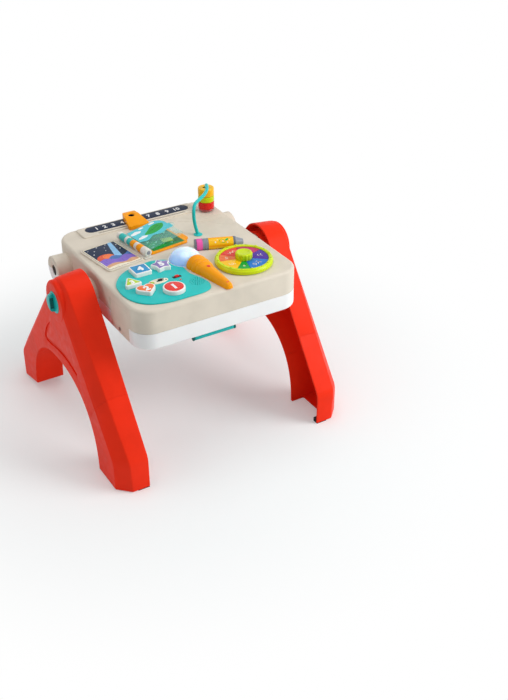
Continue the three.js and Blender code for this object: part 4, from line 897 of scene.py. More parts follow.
def slab(
    outline: Outline, low: float, high: float, edge: float = 0.0, foot: float = 0.0, axis: Axis = Axis.Z,
    steps: int = 4,
) -> Shape:
    """Extrudes an outline and rounds its two edges.

    Args:
        outline: The outline, counter-clockwise.
        low, high: Where it starts and ends along the axis.
        edge: The radius of the edge at the high end.
        foot: The radius of the edge at the low end.
        axis: The axis.
        steps: Chords in each edge.

    Returns:
        The shape.
    """
    levels = [(0.0, low)]
    if foot > 0:
        levels = [(draw, low + drop) for draw, drop in reversed(edge_levels(foot, steps))]
    levels += [(draw, high - drop) for draw, drop in edge_levels(edge, steps)] if edge > 0 else [(0.0, high)]
    rings = []
    for draw, height in levels:
        ring = inset(outline, draw) if draw > 0 else outline
        rings.append([axis.place(u, v, height) for u, v in ring])
    return loft(rings)


def block(x: Span, y: Span, z: Span, edge: float = 0.0) -> Shape:
    """A rectangular solid, with round upright edges and a round top where edge is given.

    Args:
        x, y, z: Where it starts and ends.
        edge: The radius of its edges.

    Returns:
        The shape.
    """
    if edge > 0:
        return slab(rounded_rect(x, y, edge, 4), *z, edge)
    return slab([(x[1], y[1]), (x[0], y[1]), (x[0], y[0]), (x[1], y[0])], *z)


def softened_profile(profile: list[Point], radius: float, steps: int = 4, closed: bool = False) -> list[Point]:
    """Rounds the corners of a profile that don't lie on its axis.

    Args:
        profile: Pairs of radius and height.
        radius: How far from a corner the rounding starts.
        steps: Chords in each corner.
        closed: Whether the profile's ends meet, so that its first corner is rounded too.

    Returns:
        The profile with more pairs.
    """
    points = [Vector(p) for p in (profile[:-1] if closed else profile)]
    soft: list[Point] = []
    for i, here in enumerate(points):
        at_end = not closed and i in (0, len(points) - 1)
        if at_end or here.x < TINY:
            soft.append((here.x, here.y))
            continue
        before, after = points[i - 1], points[(i + 1) % len(points)]
        start, end = towards(here, before, radius, 0.45), towards(here, after, radius, 0.45)
        soft += [tuple(on_bend(start, here, end, step / steps)) for step in range(steps + 1)]
    return [*soft, soft[0]] if closed else soft


def turned(profile: list[Point], axis: Axis = Axis.Z, centre: Point = (0.0, 0.0), steps: int = 72) -> Shape:
    """Turns a profile about an axis.

    Args:
        profile: Pairs of radius and height. It starts and ends on the axis, or closes on itself.
        axis: The axis.
        centre: Where the axis stands in its own plane.
        steps: Chords round it.

    Returns:
        The shape.
    """
    closed = profile[0] == profile[-1]
    rows = profile[:-1] if closed else profile
    points: list[Vector] = []
    starts: list[tuple[int, bool]] = []
    for radius, height in rows:
        on_axis = radius < TINY
        starts.append((len(points), on_axis))
        for i in range(1 if on_axis else steps):
            angle = TURN * i / steps
            u, v = centre[0] + radius * math.cos(angle), centre[1] + radius * math.sin(angle)
            points.append(axis.place(u, v, height))
    faces: list[tuple[int, ...]] = []
    pairs = list(zip(starts, starts[1:])) + ([(starts[-1], starts[0])] if closed else [])
    for (low, low_point), (high, high_point) in pairs:
        if low_point and high_point:
            continue
        for i in range(steps):
            j = (i + 1) % steps
            if low_point:
                faces.append((low, high + j, high + i))
            elif high_point:
                faces.append((low + i, low + j, high))
            else:
                faces.append((low + i, low + j, high + j, high + i))
    return Shape(points, faces)


def rod(axis: Axis, centre: Point, radius: float, low: float, high: float, edge: float = 0.0, steps: int = 64) -> Shape:
    """A round solid along an axis, with both of its edges rounded where edge is given.

    Args:
        axis: The axis.
        centre: Where the axis stands in its own plane.
        radius: Its radius.
        low, high: Where it starts and ends along the axis.
        edge: How far from an edge its rounding starts.
        steps: Chords round it.

    Returns:
        The shape.
    """
    profile = [(0.0, low), (radius, low), (radius, high), (0.0, high)]
    if edge > 0:
        profile = softened_profile(profile, edge)
    return turned(profile, axis, centre, steps)


def band(outer: Outline, inner: Outline, low: float, high: float) -> Shape:
    """A flat ring between two outlines with as many points.

    Args:
        outer, inner: The outlines.
        low, high: Its height.

    Returns:
        The shape.
    """
    rings = []
    for outline, height in ((inner, low), (outer, low), (outer, high), (inner, high), (inner, low)):
        rings.append([Vector((u, v, height)) for u, v in outline])
    return loft(rings, capped=False)


def tube(line: Ring, side: Vector, radius: float, sides: int = 24) -> Shape:
    """A round tube along a line.

    Args:
        line: The points of its middle.
        side: A direction that the line never takes.
        radius: Its radius.
        sides: Chords round it.

    Returns:
        The shape.
    """
    rings = []
    last = len(line) - 1
    for i, centre in enumerate(line):
        ahead = (line[min(i + 1, last)] - line[max(i - 1, 0)]).normalized()
        up = ahead.cross(side).normalized()
        out = up.cross(ahead)
        rings.append([centre + out * u + up * v for u, v in circle(0, 0, radius, sides)])
    return loft(rings)


def stroke(points: Sequence[Point], width: float, low: float, high: float, steps: int = 6) -> Shape:
    """A flat line of even width along a round curve, with tapered ends.

    Args:
        points: The points it passes through.
        width: Its width.
        low, high: Its height.
        steps: Chords between two points.

    Returns:
        The shape.
    """
    curve = smooth_open(points, steps)
    last = len(curve) - 1
    left, right = [], []
    for i, here in enumerate(curve):
        ahead = (curve[min(i + 1, last)] - curve[max(i - 1, 0)]).normalized()
        across = Vector((-ahead.y, ahead.x))
        half = width / 2 * min(1.0, 0.45 + 3 * min(i, last - i) / max(1, last))
        left.append(tuple(here + across * half))
        right.append(tuple(here - across * half))
    return slab([*right, *reversed(left)], low, high)


def digits(text: str, height: float, thickness: float, bold: float = 0.02) -> Shape:
    """Solid digits, centred on the origin and lying flat.

    Args:
        text: The digits.
        height: The height of a capital, in millimetres.
        thickness: How thick they are.
        bold: How much wider each stroke is, as a share of the size.

    Returns:
        The shape.
    """
    curve = bpy.data.curves.new("digits", "FONT")
    curve.body = text
    curve.align_x, curve.align_y = "CENTER", "CENTER"
    curve.size = height / CAPITAL
    curve.offset = bold * curve.size
    curve.extrude = thickness / 2
    curve.resolution_u = 6
    writer = bpy.data.objects.new("digits", curve)
    bpy.context.scene.collection.objects.link(writer)
    shape = Shape.of(writer)
    bpy.data.objects.remove(writer)
    bpy.data.curves.remove(curve)
    x, y = [point.x for point in shape.points], [point.y for point in shape.points]
    return shape.moved(Matrix.Translation((-(min(x) + max(x)) / 2, -(min(y) + max(y)) / 2, 0)))


def at(x: float, y: float, z: float = 0.0, turn: float = 0.0) -> Matrix:
    """A place on the deck, with a turn in degrees about the upright axis."""
    return Matrix.Translation((x, y, z)) @ Matrix.Rotation(math.radians(turn), 4, "Z")


def add_piece(
    name: str, shape: Shape, body: str, finish: Finish, stands_for: tuple[str, ...] = (), place: Matrix | None = None,
    smooth: float = 34.0,
) -> bpy.types.Object:
    """Makes a finished piece of the table and sets it on its body.

    Args:
        name: The piece's name.
        shape: Its shape in millimetres.
        body: The body that carries it.
        finish: What it is made of.
        stands_for: The frame's nodes that it replaces.
        place: Where its shape goes, if it isn't there yet.
        smooth: Edges flatter than this many degrees are shaded round.

    Returns:
        The piece.
    """
    if place is not None:
        shape = shape.moved(place)
    mesh = shape.mesh(name, MM)
    mesh.shade_smooth()
    mesh.set_sharp_from_angle(angle=math.radians(smooth))
    piece = bpy.data.objects.new(name, mesh)
    bpy.context.scene.collection.objects.link(piece)
    mesh.materials.append(finish.material())
    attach(piece, body)
    if stands_for:
        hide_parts(*stands_for)
    LOG.info("%s: %d faces on %s", name, len(mesh.polygons), body)
    return piece


def dress_node(name: str, finish: Finish, soften: float = 0.0) -> None:
    """Gives a node of the frame a finish, and softer edges where its shape allows it.

    Args:
        name: The node's name.
        finish: What it is made of.
        soften: The width of its edges' bevel in millimetres, or none.
    """
    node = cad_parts[name]
    for place in node.material_slots:
        place.material = finish.material()
    if soften > 0:
        bevel = node.modifiers.new("soft_edges", "BEVEL")
        bevel.width = soften * MM
        bevel.segments = 2
        bevel.limit_method = "ANGLE"
        bevel.angle_limit = math.radians(40)
    LOG.info("%s: dressed as %s", name, finish.name)


# The table's main sizes


@dataclass(frozen=True)
class Deck:
    """The table unit's outline, and where things stand on it."""

    half_x: float = 175.0
    front_y: float = -218.0
    back_y: float = 165.0
    corner: float = 40.0
    bottom: float = 268.0
    seam: float = 302.0
    top: float = 351.0
    wall: float = 3.0
    pivot_y: float = -14.0
    pivot_z: float = 303.0
    rear_boss_y: float = 109.0

    @property
    def ceiling(self) -> float:
        """The underside of the deck."""
        return self.top - self.wall

    @property
    def cut_z(self) -> Span:
        """The heights that a cutter needs to go through the deck's top."""
        return widened((self.ceiling, self.top), OVERRUN)

    @property
    def pivot(self) -> Point:
        """The axis that the unit turns about between the legs."""
        return (self.pivot_y, self.pivot_z)

    def outline(self, draw: float = 0.0) -> Outline:
        """The unit's outline, drawn in by a distance."""
        y = widened((self.front_y, self.back_y), -draw)
        return rounded_rect(about(0, self.half_x - draw), y, self.corner - draw, 14)

    def spot(self, share_x: float, share_y: float) -> Point:
        """A place on the deck from its shares of half the width and half the depth.

        Args:
            share_x: Its share of half the width.
            share_y: Its share of half the depth.

        Returns:
            The place.
        """
        middle = (self.front_y + self.back_y) / 2
        half = (self.back_y - self.front_y) / 2
        return (share_x * self.half_x, middle + share_y * half)

    def through(self, outline: Outline) -> Shape:
        """A cutter through the deck's top."""
        return slab(outline, *self.cut_z)


DECK = Deck()


# The unit's two shells


@dataclass
class PlayUnit:
    """The beige upper shell and the white lower shell, with the bosses that the legs sit on."""

    edge: float = 6.5
    foot: float = 5.0
    boss_r: float = 29.0
    boss_bore: float = 11.0
    boss_end: float = 205.6
    door_y: Span = (-174.0, -95.0)
    door_z: Span = (272.0, 331.0)
    door_screw_z: float = 281.3
    finger_z: float = 322.5
    relief: tuple[tuple[Point, ...], ...] = (
        ((84, 100), (110, 84), (140, 76), (166, 76)),
        ((70, 92), (98, 70), (132, 60), (167, 60)),
        ((132, 40), (150, 26), (168, 20)),
    )

    def build(self, holes: list[Shape]) -> None:
        """Builds the shells.

        Args:
            holes: What is cut out of the deck for the toys that go through it.
        """
        doorway = self.doorway()
        upper = slab(DECK.outline(), DECK.seam + FIT / 2, DECK.top, self.edge, 0.8, steps=8)
        hollow = slab(DECK.outline(DECK.wall), DECK.seam - OVERRUN, DECK.ceiling)
        upper = upper.cut(hollow, doorway, *holes)
        add_piece("deck_shell", upper, UNIT, Colours.deck, ("top_shell",))
        lower = slab(DECK.outline(), DECK.bottom, DECK.seam - FIT / 2, 0.8, self.foot, steps=6)
        hollow = slab(DECK.outline(DECK.wall), DECK.bottom + DECK.wall, DECK.seam + OVERRUN)
        add_piece("lower_shell", lower.cut(hollow, doorway), UNIT, Colours.shell, ("bottom_shell",))
        self.seam_shadow_lip()
        self.bosses()
        self.relief_lines()
        self.door()

    def seam_shadow_lip(self) -> None:
        """The dark lip inside the seam: painted shade, so that the seam's gap reads dark."""
        lip = band(DECK.outline(1.2), DECK.outline(DECK.wall), DECK.seam - 4, DECK.seam + 3)
        add_piece("seam_shadow_lip", lip.cut(self.doorway()), UNIT, Colours.dark)

    def doorway(self) -> Shape:
        """The opening in the left wall behind the battery door.

        Returns:
            The cutter.
        """
        outline = rounded_rect(widened(self.door_y, FIT), widened(self.door_z, FIT), 4.0)
        return slab(outline, -DECK.half_x - OVERRUN, -DECK.half_x + 4, axis=Axis.X)

    def bosses(self) -> None:
        """Four round bosses, beige above the seam and white below it, each with a stepped face."""
        end = self.boss_end
        start = DECK.half_x - 1.6
        profile = [
            (self.boss_bore, end - 0.9), (self.boss_bore + 4, end - 0.9), (self.boss_bore + 5, end),
            (self.boss_r - 6, end), (self.boss_r - 5.2, end - 0.9), (self.boss_r - 4.2, end - 0.9),
            (self.boss_r - 3.4, end), (self.boss_r, end), (self.boss_r, start), (self.boss_r - 3, start),
            (self.boss_r - 3, end - 3), (self.boss_bore, end - 3), (self.boss_bore, end - 0.9),
        ]
        profile = softened_profile(profile, 0.7, 3, closed=True)
        reach = about(0, self.boss_end + OVERRUN)
        above = block(reach, reach, (DECK.seam + FIT / 2, DECK.top))
        below = block(reach, reach, (DECK.bottom - OVERRUN, DECK.seam - FIT / 2))
        for place, y in (("front", DECK.pivot_y), ("rear", DECK.rear_boss_y)):
            boss = turned(profile, Axis.X, (y, DECK.pivot_z), 72)
            halves = (("upper", boss.common(above), Colours.deck), ("lower", boss.common(below), Colours.shell))
            for level, half, finish in halves:
                for side in Side:
                    add_piece(f"{side.value}_{place}_boss_{level}", side.sided(half), UNIT, finish)

    def relief_lines(self) -> None:
        """Thin raised curves that sweep over the deck behind the pencil."""
        lines = [stroke(points, 1.5, DECK.top - 0.3, DECK.top + 0.28, 8) for points in self.relief]
        add_piece("deck_relief", gathered(lines), UNIT, Colours.deck)

    def door(self) -> None:
        """The battery door in the left side, with a finger hollow and a screw in a round well."""
        face = -DECK.half_x
        outline = rounded_rect(self.door_y, self.door_z, 3.6)
        door = slab(outline, face, face + 2.7, 0.3, 0.9, Axis.X)
        middle = (sum(self.door_y) / 2, self.door_screw_z)
        well = rod(Axis.X, middle, 4.6, face - OVERRUN, face + 0.5)
        hole = rod(Axis.X, middle, 1.7, face - OVERRUN, face + OVERRUN)
        hollow = rod(Axis.X, (self.door_y[1] + 2, self.finger_z), 9.5, face - OVERRUN, face + 1.3)
        ribs = [
            slab(rounded_rect((y, y + 1.6), (300, 322), 0.7), face + 0.2, face + 1.1, 0.0, 0.0, Axis.X)
            for y in (-160, -156, -152)
        ]
        door = door.cut(well, hole, hollow, *ribs)
        add_piece("battery_cover", door, UNIT, Colours.deck, ("battery_door",))
        dress_node("battery_door_screw", Colours.steel, 0.3)


# The number track


@dataclass
class NumberTrack:
    """The raised panel along the back with its navy strip, ten digits and the slider."""

    x: Span = (-133.0, 128.0)
    y: Span = (114.0, 158.0)
    rise: float = 3.0
    strip_y: float = 141.0
    strip_half: tuple[float, float] = (118.0, 13.5)
    digit_x: tuple[float, ...] = (-93, -75, -56, -36, -15, 5, 26, 47, 69, 92)
    digit_height: float = 11.5
    slot_x: Span = (-98.6, 100.6)
    slot_y: Span = (118.0, 122.0)
    slider_x: float = -14.0
    window_r: float = 6.5

    def panel_top(self) -> float:
        """The height of the panel's face."""
        return DECK.top + self.rise

    def slot(self) -> Shape:
        """The slot that the slider's neck runs in."""
        return block(self.slot_x, self.slot_y, widened((DECK.ceiling, self.panel_top()), OVERRUN))

    def build(self) -> None:
        """Builds the track."""
        top = self.panel_top()
        panel = slab(rounded_rect(self.x, self.y, 6.0), DECK.top - 2, top, 1.6)
        half_x, half_y = self.strip_half
        x, y = about(0, half_x), about(self.strip_y, half_y)
        recess = slab(rounded_rect(widened(x, FIT), widened(y, FIT), half_y + FIT, 14), top - 1.5, top + OVERRUN)
        add_piece("number_panel", panel.cut(recess, self.slot()), UNIT, Colours.deck)
        strip = slab(rounded_rect(x, y, half_y, 14), top - 1.2, top - 0.1, 0.3)
        add_piece("number_film", strip, UNIT, Colours.strip, ("number_strip",))
        marks = [
            digits(str(i + 1), self.digit_height, 0.2, 0.025).moved(at(u, self.strip_y, top + 0.02))
            for i, u in enumerate(self.digit_x)
        ]
        add_piece("number_digits", gathered(marks), UNIT, Colours.white_print)
        self.slider(top)
        dress_node("slider_retainer", Colours.rim)

    def slider(self, top: float) -> None:
        """The orange slider: a wedge with a sloping nose and a round window.

        Args:
            top: The height of the panel's face.
        """
        x = self.slider_x
        low = top + FIT
        plan = rounded_polygon([(x - 23, 102), (x + 23, 102), (x + 14, 156), (x - 14, 156)], 4.0)
        side = [
            (102, DECK.top + SLACK), (113.4, DECK.top + SLACK), (113.4, low), (156, low),
            (156, DECK.top + 16), (141, DECK.top + 16), (102, DECK.top + 8),
        ]
        body = slab(plan, DECK.top, DECK.top + 24).common(slab(side, x - 30, x + 30, axis=Axis.X))
        reach = self.window_r - 0.1
        window = rod(Axis.Z, (x, self.strip_y), self.window_r, DECK.top, DECK.top + 24)
        dish = [(0, DECK.top + 13.6), (reach, DECK.top + 13.6), (9.6, DECK.top + 17), (0, DECK.top + 17)]
        dish = turned(dish, Axis.Z, (x, self.strip_y))
        neck = block(about(x, 8), (118.4, 121.6), (DECK.ceiling - 3.3, low + FIT))
        add_piece(
            "slider_wedge", body.cut(window, dish).bevelled(1.5, 3, 30), "slider", Colours.orange, ("number_slider",)
        )
        add_piece("slider_neck", neck, "slider", Colours.orange)
        # A dark ring lines the window's bore as painted shade down the hole
        lens = [circle(x, self.strip_y, radius) for radius in (reach, reach - 1)]
        add_piece("slider_window_shade", band(*lens, low + 0.9, DECK.top + 13.2), "slider", Colours.dark)


# The picture book


@dataclass
class PictureBook:
    """The card, the striped spine and the two pages, in the book's own turned frame."""

    turn: float = 8.0
    place: tuple[float, float] = (-0.371, 0.201)
    card_x: Span = (-88.0, -14.0)
    card_y: Span = (-40.0, 62.0)
    spine_y: Span = (-43.0, 60.0)
    spine_shares: tuple[float, ...] = (0, 0.184, 0.33, 0.417, 0.544, 0.66, 0.738, 0.922, 1)
    pin_z: float = 363.0
    knuckle_r: float = 7.6
    bore: float = 2.5
    page_x: Span = (9.6, 102.0)
    page_y: Span = (-35.0, 52.0)
    page_low: float = 351.6
    print_x: Span = (21.0, 96.0)
    print_y: Span = (-29.0, 46.0)
    leaf_x: Span = (3.8, 92.0)
    leaf_tab: Point = (92.0, 12.0)
    leaf_tab_r: float = 9.0
    flip_raise: float = 8.0

    def frame(self) -> Matrix:
        """Where the book stands on the deck."""
        return at(*DECK.spot(*self.place), turn=self.turn)

    def build(self) -> None:
        """Builds the card, the spine and the pages."""
        self.card()
        self.spine()
        self.lower_page()
        self.upper_page()
        dress_node("page_pin", Colours.steel)

    def card(self) -> None:
        """The raised base and its printed card: a night sky over hills, of plain generic shapes."""
        here, x, y, top = self.frame(), self.card_x, self.card_y, DECK.top + 3.5
        base = slab(rounded_rect(widened(x, 4), widened(y, 4), 8), DECK.top - 2, top, 1.3)
        recess = slab(rounded_rect(widened(x, FIT), widened(y, FIT), 4), top - 1.5, top + OVERRUN)
        add_piece("card_base", base.cut(recess), UNIT, Colours.deck, place=here)
        plate = slab(rounded_rect(x, y, 4), top - 1.2, top - 0.2, 0.3)
        add_piece("card_plate", plate, UNIT, Colours.night, ("left_card",), here)
        outer = rounded_rect(widened(x, -0.6), widened(y, -0.6), 3.6)
        inner = rounded_rect(widened(x, -2.4), widened(y, -2.4), 2.2)
        low = top - 0.25
        add_piece("card_border", band(outer, inner, low, low + 0.3), UNIT, Colours.cream_print, place=here)
        window = slab(inner, low - 1, low + 3)
        layers = [
            ("card_glow", oval(-66, 6, 19, 16), Colours.ember, 0.10),
            ("card_moon", oval(-60, 10, 11, 10), Colours.orange_print, 0.16),
            ("card_stream", [(-30, 63), (-22, 63), (-36, -6), (-52, -8)], Colours.pale_blue_print, 0.13),
            ("card_far_hill", self.ridge([(-90, 4), (-70, -2), (-52, 8), (-34, -2), (-10, 12)]),
             Colours.far_hill, 0.18),
            ("card_hill", self.ridge([(-90, -4), (-72, 4), (-50, -10), (-30, -2), (-10, -18)]), Colours.hill, 0.22),
            ("card_sand", self.ridge([(-90, -26), (-66, -20), (-44, -28), (-26, -22), (-10, -30)]),
             Colours.sand, 0.26),
            ("card_shore", self.ridge([(-90, -34), (-60, -30), (-36, -36), (-10, -33)]), Colours.cream_print, 0.3),
        ]
        for name, outline, finish, rise in layers:
            layer = slab(outline, low - 0.4, low + rise).common(window)
            add_piece(name, layer, UNIT, finish, place=here)
        stars = [(-80, 52), (-70, 44), (-58, 56), (-46, 46), (-38, 56), (-78, 32), (-50, 34), (-20, 44), (-22, 26)]
        dots = [slab(circle(u, v, 0.9 + 0.3 * (i % 3), 8), low, low + 0.2) for i, (u, v) in enumerate(stars)]
        add_piece("card_stars", gathered(dots), UNIT, Colours.white_print, place=here)

    def ridge(self, points: Outline) -> Outline:
        """A hill's outline from its upper edge down to the card's front edge."""
        crest = [tuple(p) for p in smooth_open(points, 6)]
        return [(points[0][0], self.card_y[0] - 2), (points[-1][0], self.card_y[0] - 2), *reversed(crest)]

    def knuckle_y(self, i: int) -> Span:
        """Where one of the spine's rings starts and ends.

        Args:
            i: Its number, counted from the front.

        Returns:
            Its two ends along the spine.
        """
        front, back = self.spine_y
        low, high = (front + self.spine_shares[k] * (back - front) for k in (i, i + 1))
        return (low + FIT, high - FIT)

    def ring(self, i: int, radius: float) -> Shape:
        """One of the spine's rings, bored for the pin, with soft edges.

        Args:
            i: Its number, counted from the front.
            radius: Its radius.

        Returns:
            The ring.
        """
        (low, high), bore = self.knuckle_y(i), self.bore
        profile = [(bore, low), (radius, low), (radius, high), (bore, high), (bore, low)]
        return turned(softened_profile(profile, 1.0, 3, closed=True), Axis.Y, (0, self.pin_z), 48)

    def spine(self) -> None:
        """The bar on the deck, and the rings and webs that stand on it."""
        here = self.frame()
        bar = block(about(0, 9), self.spine_y, (DECK.top + FIT, DECK.top + 3), 1.0)
        webs = [
            block(about(0, 3.8), self.knuckle_y(i), (DECK.top + 1, self.pin_z - 5), 0.4) for i in (0, 2, 5, 7)
        ]
        rings = [self.ring(i, self.knuckle_r + 0.2) for i in (0, 2, 5, 7)]
        add_piece("spine_bar", gathered([bar, *webs]), UNIT, Colours.spine, ("book_spine",), here)
        add_piece("spine_rings", gathered(rings), UNIT, Colours.spine, place=here)
        ends = [rod(Axis.Y, (0, self.pin_z), 4.2, *about(y, 0.25), 0.1) for y in widened(self.spine_y, -FIT)]
        add_piece("spine_caps", gathered(ends), UNIT, Colours.ferrule, place=here)

    def lower_page(self) -> None:
        """The orange framed page with its arms, its tab and a printed meadow."""
        here, low, top = self.frame(), self.page_low, self.page_low + 3.2
        sheet = slab(rounded_rect(self.page_x, self.page_y, 7), low, top, 0.9, 0.4)
        tab = slab(rounded_rect((95, 112), (-23, 8), 7), low, top, 0.9, 0.4)
        arms = []
        for i in (1, 3):
            span = self.knuckle_y(i)
            side = [
                (0, self.pin_z - 7.6), (-9.6, self.pin_z - 7.6), (-9.6, low), (-15.4, low), (-15.4, top),
                (-7.6, self.pin_z), (0, self.pin_z),
            ]
            arms.append(slab(side, *span, axis=Axis.Y))
        hole = slab(
            rounded_rect(widened(self.print_x, FIT), widened(self.print_y, FIT), 1.5), top - 1.5, top + OVERRUN
        )
        bore = rod(Axis.Y, (0, self.pin_z), self.bore + 0.1, *self.spine_y)
        frame_solid = sheet.joined(tab).cut(hole)
        add_piece("page_frame", frame_solid, "lower_page", Colours.orange, ("frame_page",), here)
        arms = [arm.cut(bore).bevelled(0.5, 2, 40) for arm in arms]
        rings = [self.ring(i, self.knuckle_r) for i in (1, 3)]
        add_piece("page_arms", gathered([*arms, *rings]), "lower_page", Colours.orange, place=here)
        inside = rounded_rect(self.print_x, self.print_y, 1.2)
        add_piece("page_print", slab(inside, top - 1.2, top - 0.2, 0.2), "lower_page", Colours.meadow,
                  ("page_picture",), here)
        self.meadow(here, slab(inset(inside, 0.6), top - 2, top + 2), top - 0.25)

    def meadow(self, here: Matrix, window: Shape, low: float) -> None:
        """The meadow's shapes: groves, a lime field and a few pale tufts.

        Args:
            here: The book's place.
            window: What the print is kept inside.
            low: The height of the print.
        """
        groves = [oval(30, 38, 16, 11, 0.3), oval(52, 44, 14, 9), oval(88, -6, 14, 18), oval(86, 30, 13, 12)]
        fields = [[(58, -8), (80, -14), (84, 2), (62, 10)]]
        leaves = [oval(36, 2, 13, 8, 0.5), oval(60, 26, 16, 8, -0.2), oval(44, -20, 14, 6, 0.1)]
        for name, outlines, finish, rise in (
            ("meadow_leaves", leaves, Colours.leaf, 0.16),
            ("meadow_groves", groves, Colours.grove, 0.2),
            ("meadow_field", fields, Colours.lime_print, 0.26),
        ):
            shapes = [slab(outline, low - 0.4, low + rise).common(window) for outline in outlines]
            add_piece(name, gathered(shapes), "lower_page", finish, place=here)
        tufts = []
        for u, v in ((30, -18), (38, -8), (27, 2), (34, 14), (72, -22)):
            tufts += [
                stroke([(u, v), (u + lean, v + 4), (u + 2.2 * lean, v + 6.5)], 1.1, low, low + 0.3, 4)
                for lean in (-1.2, 0.2, 1.6)
            ]
        add_piece("meadow_tufts", gathered(tufts), "lower_page", Colours.mint_print, place=here)

    def upper_page(self) -> None:
        """The clear teal page, which stands raised about the pin, with a bush and clouds on it."""
        here = self.frame() @ Matrix.Translation((0, 0, self.pin_z)) @ Matrix.Rotation(
            math.radians(-self.flip_raise), 4, "Y"
        )
        sheet = slab(self.leaf_outline(0.0), -1.2, 1.2, 0.5, 0.5)
        tab = slab(circle(*self.leaf_tab, self.leaf_tab_r, 48), -1.2, 1.2, 0.5, 0.5)
        others = [
            rod(Axis.Y, (0, 0), self.knuckle_r + 1.2, self.knuckle_y(i)[0] - 0.6, self.knuckle_y(i)[1] + 0.6)
            for i in (0, 1, 2, 3, 5, 7)
        ]
        page = sheet.joined(tab).cut(*others, rod(Axis.Y, (0, 0), self.bore + 0.1, *self.spine_y))
        add_piece("clear_page", page, "upper_page", Colours.page, ("flip_page",), here)
        lift = Matrix.Translation((0, 0, -self.pin_z))
        rings = gathered([self.ring(i, self.knuckle_r) for i in (4, 6)]).moved(lift)
        add_piece("clear_page_rings", rings, "upper_page", Colours.page_knuckle, place=here)
        self.sky(here)

    def leaf_outline(self, draw: float) -> Outline:
        """The clear page's outline, with its wide round corner at the back, drawn in by a distance.

        Args:
            draw: The distance.

        Returns:
            The outline, counter-clockwise.
        """
        (left, right), (front, back), wide, small = self.leaf_x, self.page_y, 22.0, 7.0
        return [
            *arc(left + small, front + small, small - draw, 2 * QUARTER, 3 * QUARTER, 8),
            *arc(right - small, front + small, small - draw, 3 * QUARTER, 4 * QUARTER, 8),
            *arc(right - wide, back - wide, wide - draw, 0, QUARTER, 16),
            *arc(left + small, back - small, small - draw, QUARTER, 2 * QUARTER, 8),
        ]

    def sky(self, here: Matrix) -> None:
        """The clear page's print: a strip of sky with clouds and a green hill, and tufts along the clear half.

        Args:
            here: The page's place.
        """
        shore = [tuple(p) for p in smooth_open([(11, 2), (28, -4), (44, 4), (62, -2), (80, 3), (94, 0)], 6)]
        ground = slab([*shore, (94, 60), (11, 60)], 1.1, 1.32)
        tab = slab(circle(*self.leaf_tab, self.leaf_tab_r - 1, 48), 1.0, 1.4)
        print_area = slab(self.leaf_outline(1.4), 1.0, 1.4).joined(tab)
        sky = ground.common(print_area).cut(rod(Axis.Y, (0, 0), self.knuckle_r + 3.4, *self.spine_y))
        add_piece("page_sky", sky, "upper_page", Colours.sky, place=here)
        hill = smooth_closed([(34, 18), (46, 27), (60, 36), (74, 37), (84, 30), (78, 18), (62, 11), (46, 11)], 6)
        add_piece("page_hill", slab(hill, 1.2, 1.45, 0.1), "upper_page", Colours.leaf, place=here)
        lines = (([(42, 20), (58, 24), (76, 30)], 1.0), ([(54, 16), (66, 19), (78, 24)], 0.8))
        veins = [stroke(points, width, 1.4, 1.55) for points, width in lines]
        add_piece("page_hill_lines", gathered(veins), "upper_page", Colours.grove, place=here)
        puffs = []
        for u, v, size in ((24, 36, 1.0), (26, 12, 0.9), (68, 45, 0.6), (42, 45, 0.5)):
            cloud = [(u + size * a, v + size * b) for a, b in (
                (-9, -3), (0, -4), (9, -3), (12, 1), (7, 4), (2, 7), (-4, 5), (-9, 4), (-12, 0)
            )]
            puffs.append(slab(smooth_closed(cloud, 5), 1.2, 1.42, 0.08))
        add_piece("page_clouds", gathered(puffs), "upper_page", Colours.white_print, place=here)
        blades = []
        for u, v in ((18, -14), (30, -26), (62, -8)):
            blades += [
                stroke([(u, v), (u + 2 + lean, v + 4), (u + 2 + 2.4 * lean, v + 7)], 1.1, 1.15, 1.4, 4)
                for lean in (-1.4, 0.2, 1.8)
            ]
        add_piece("page_tufts", gathered(blades), "upper_page", Colours.mint_print, place=here)


# The light


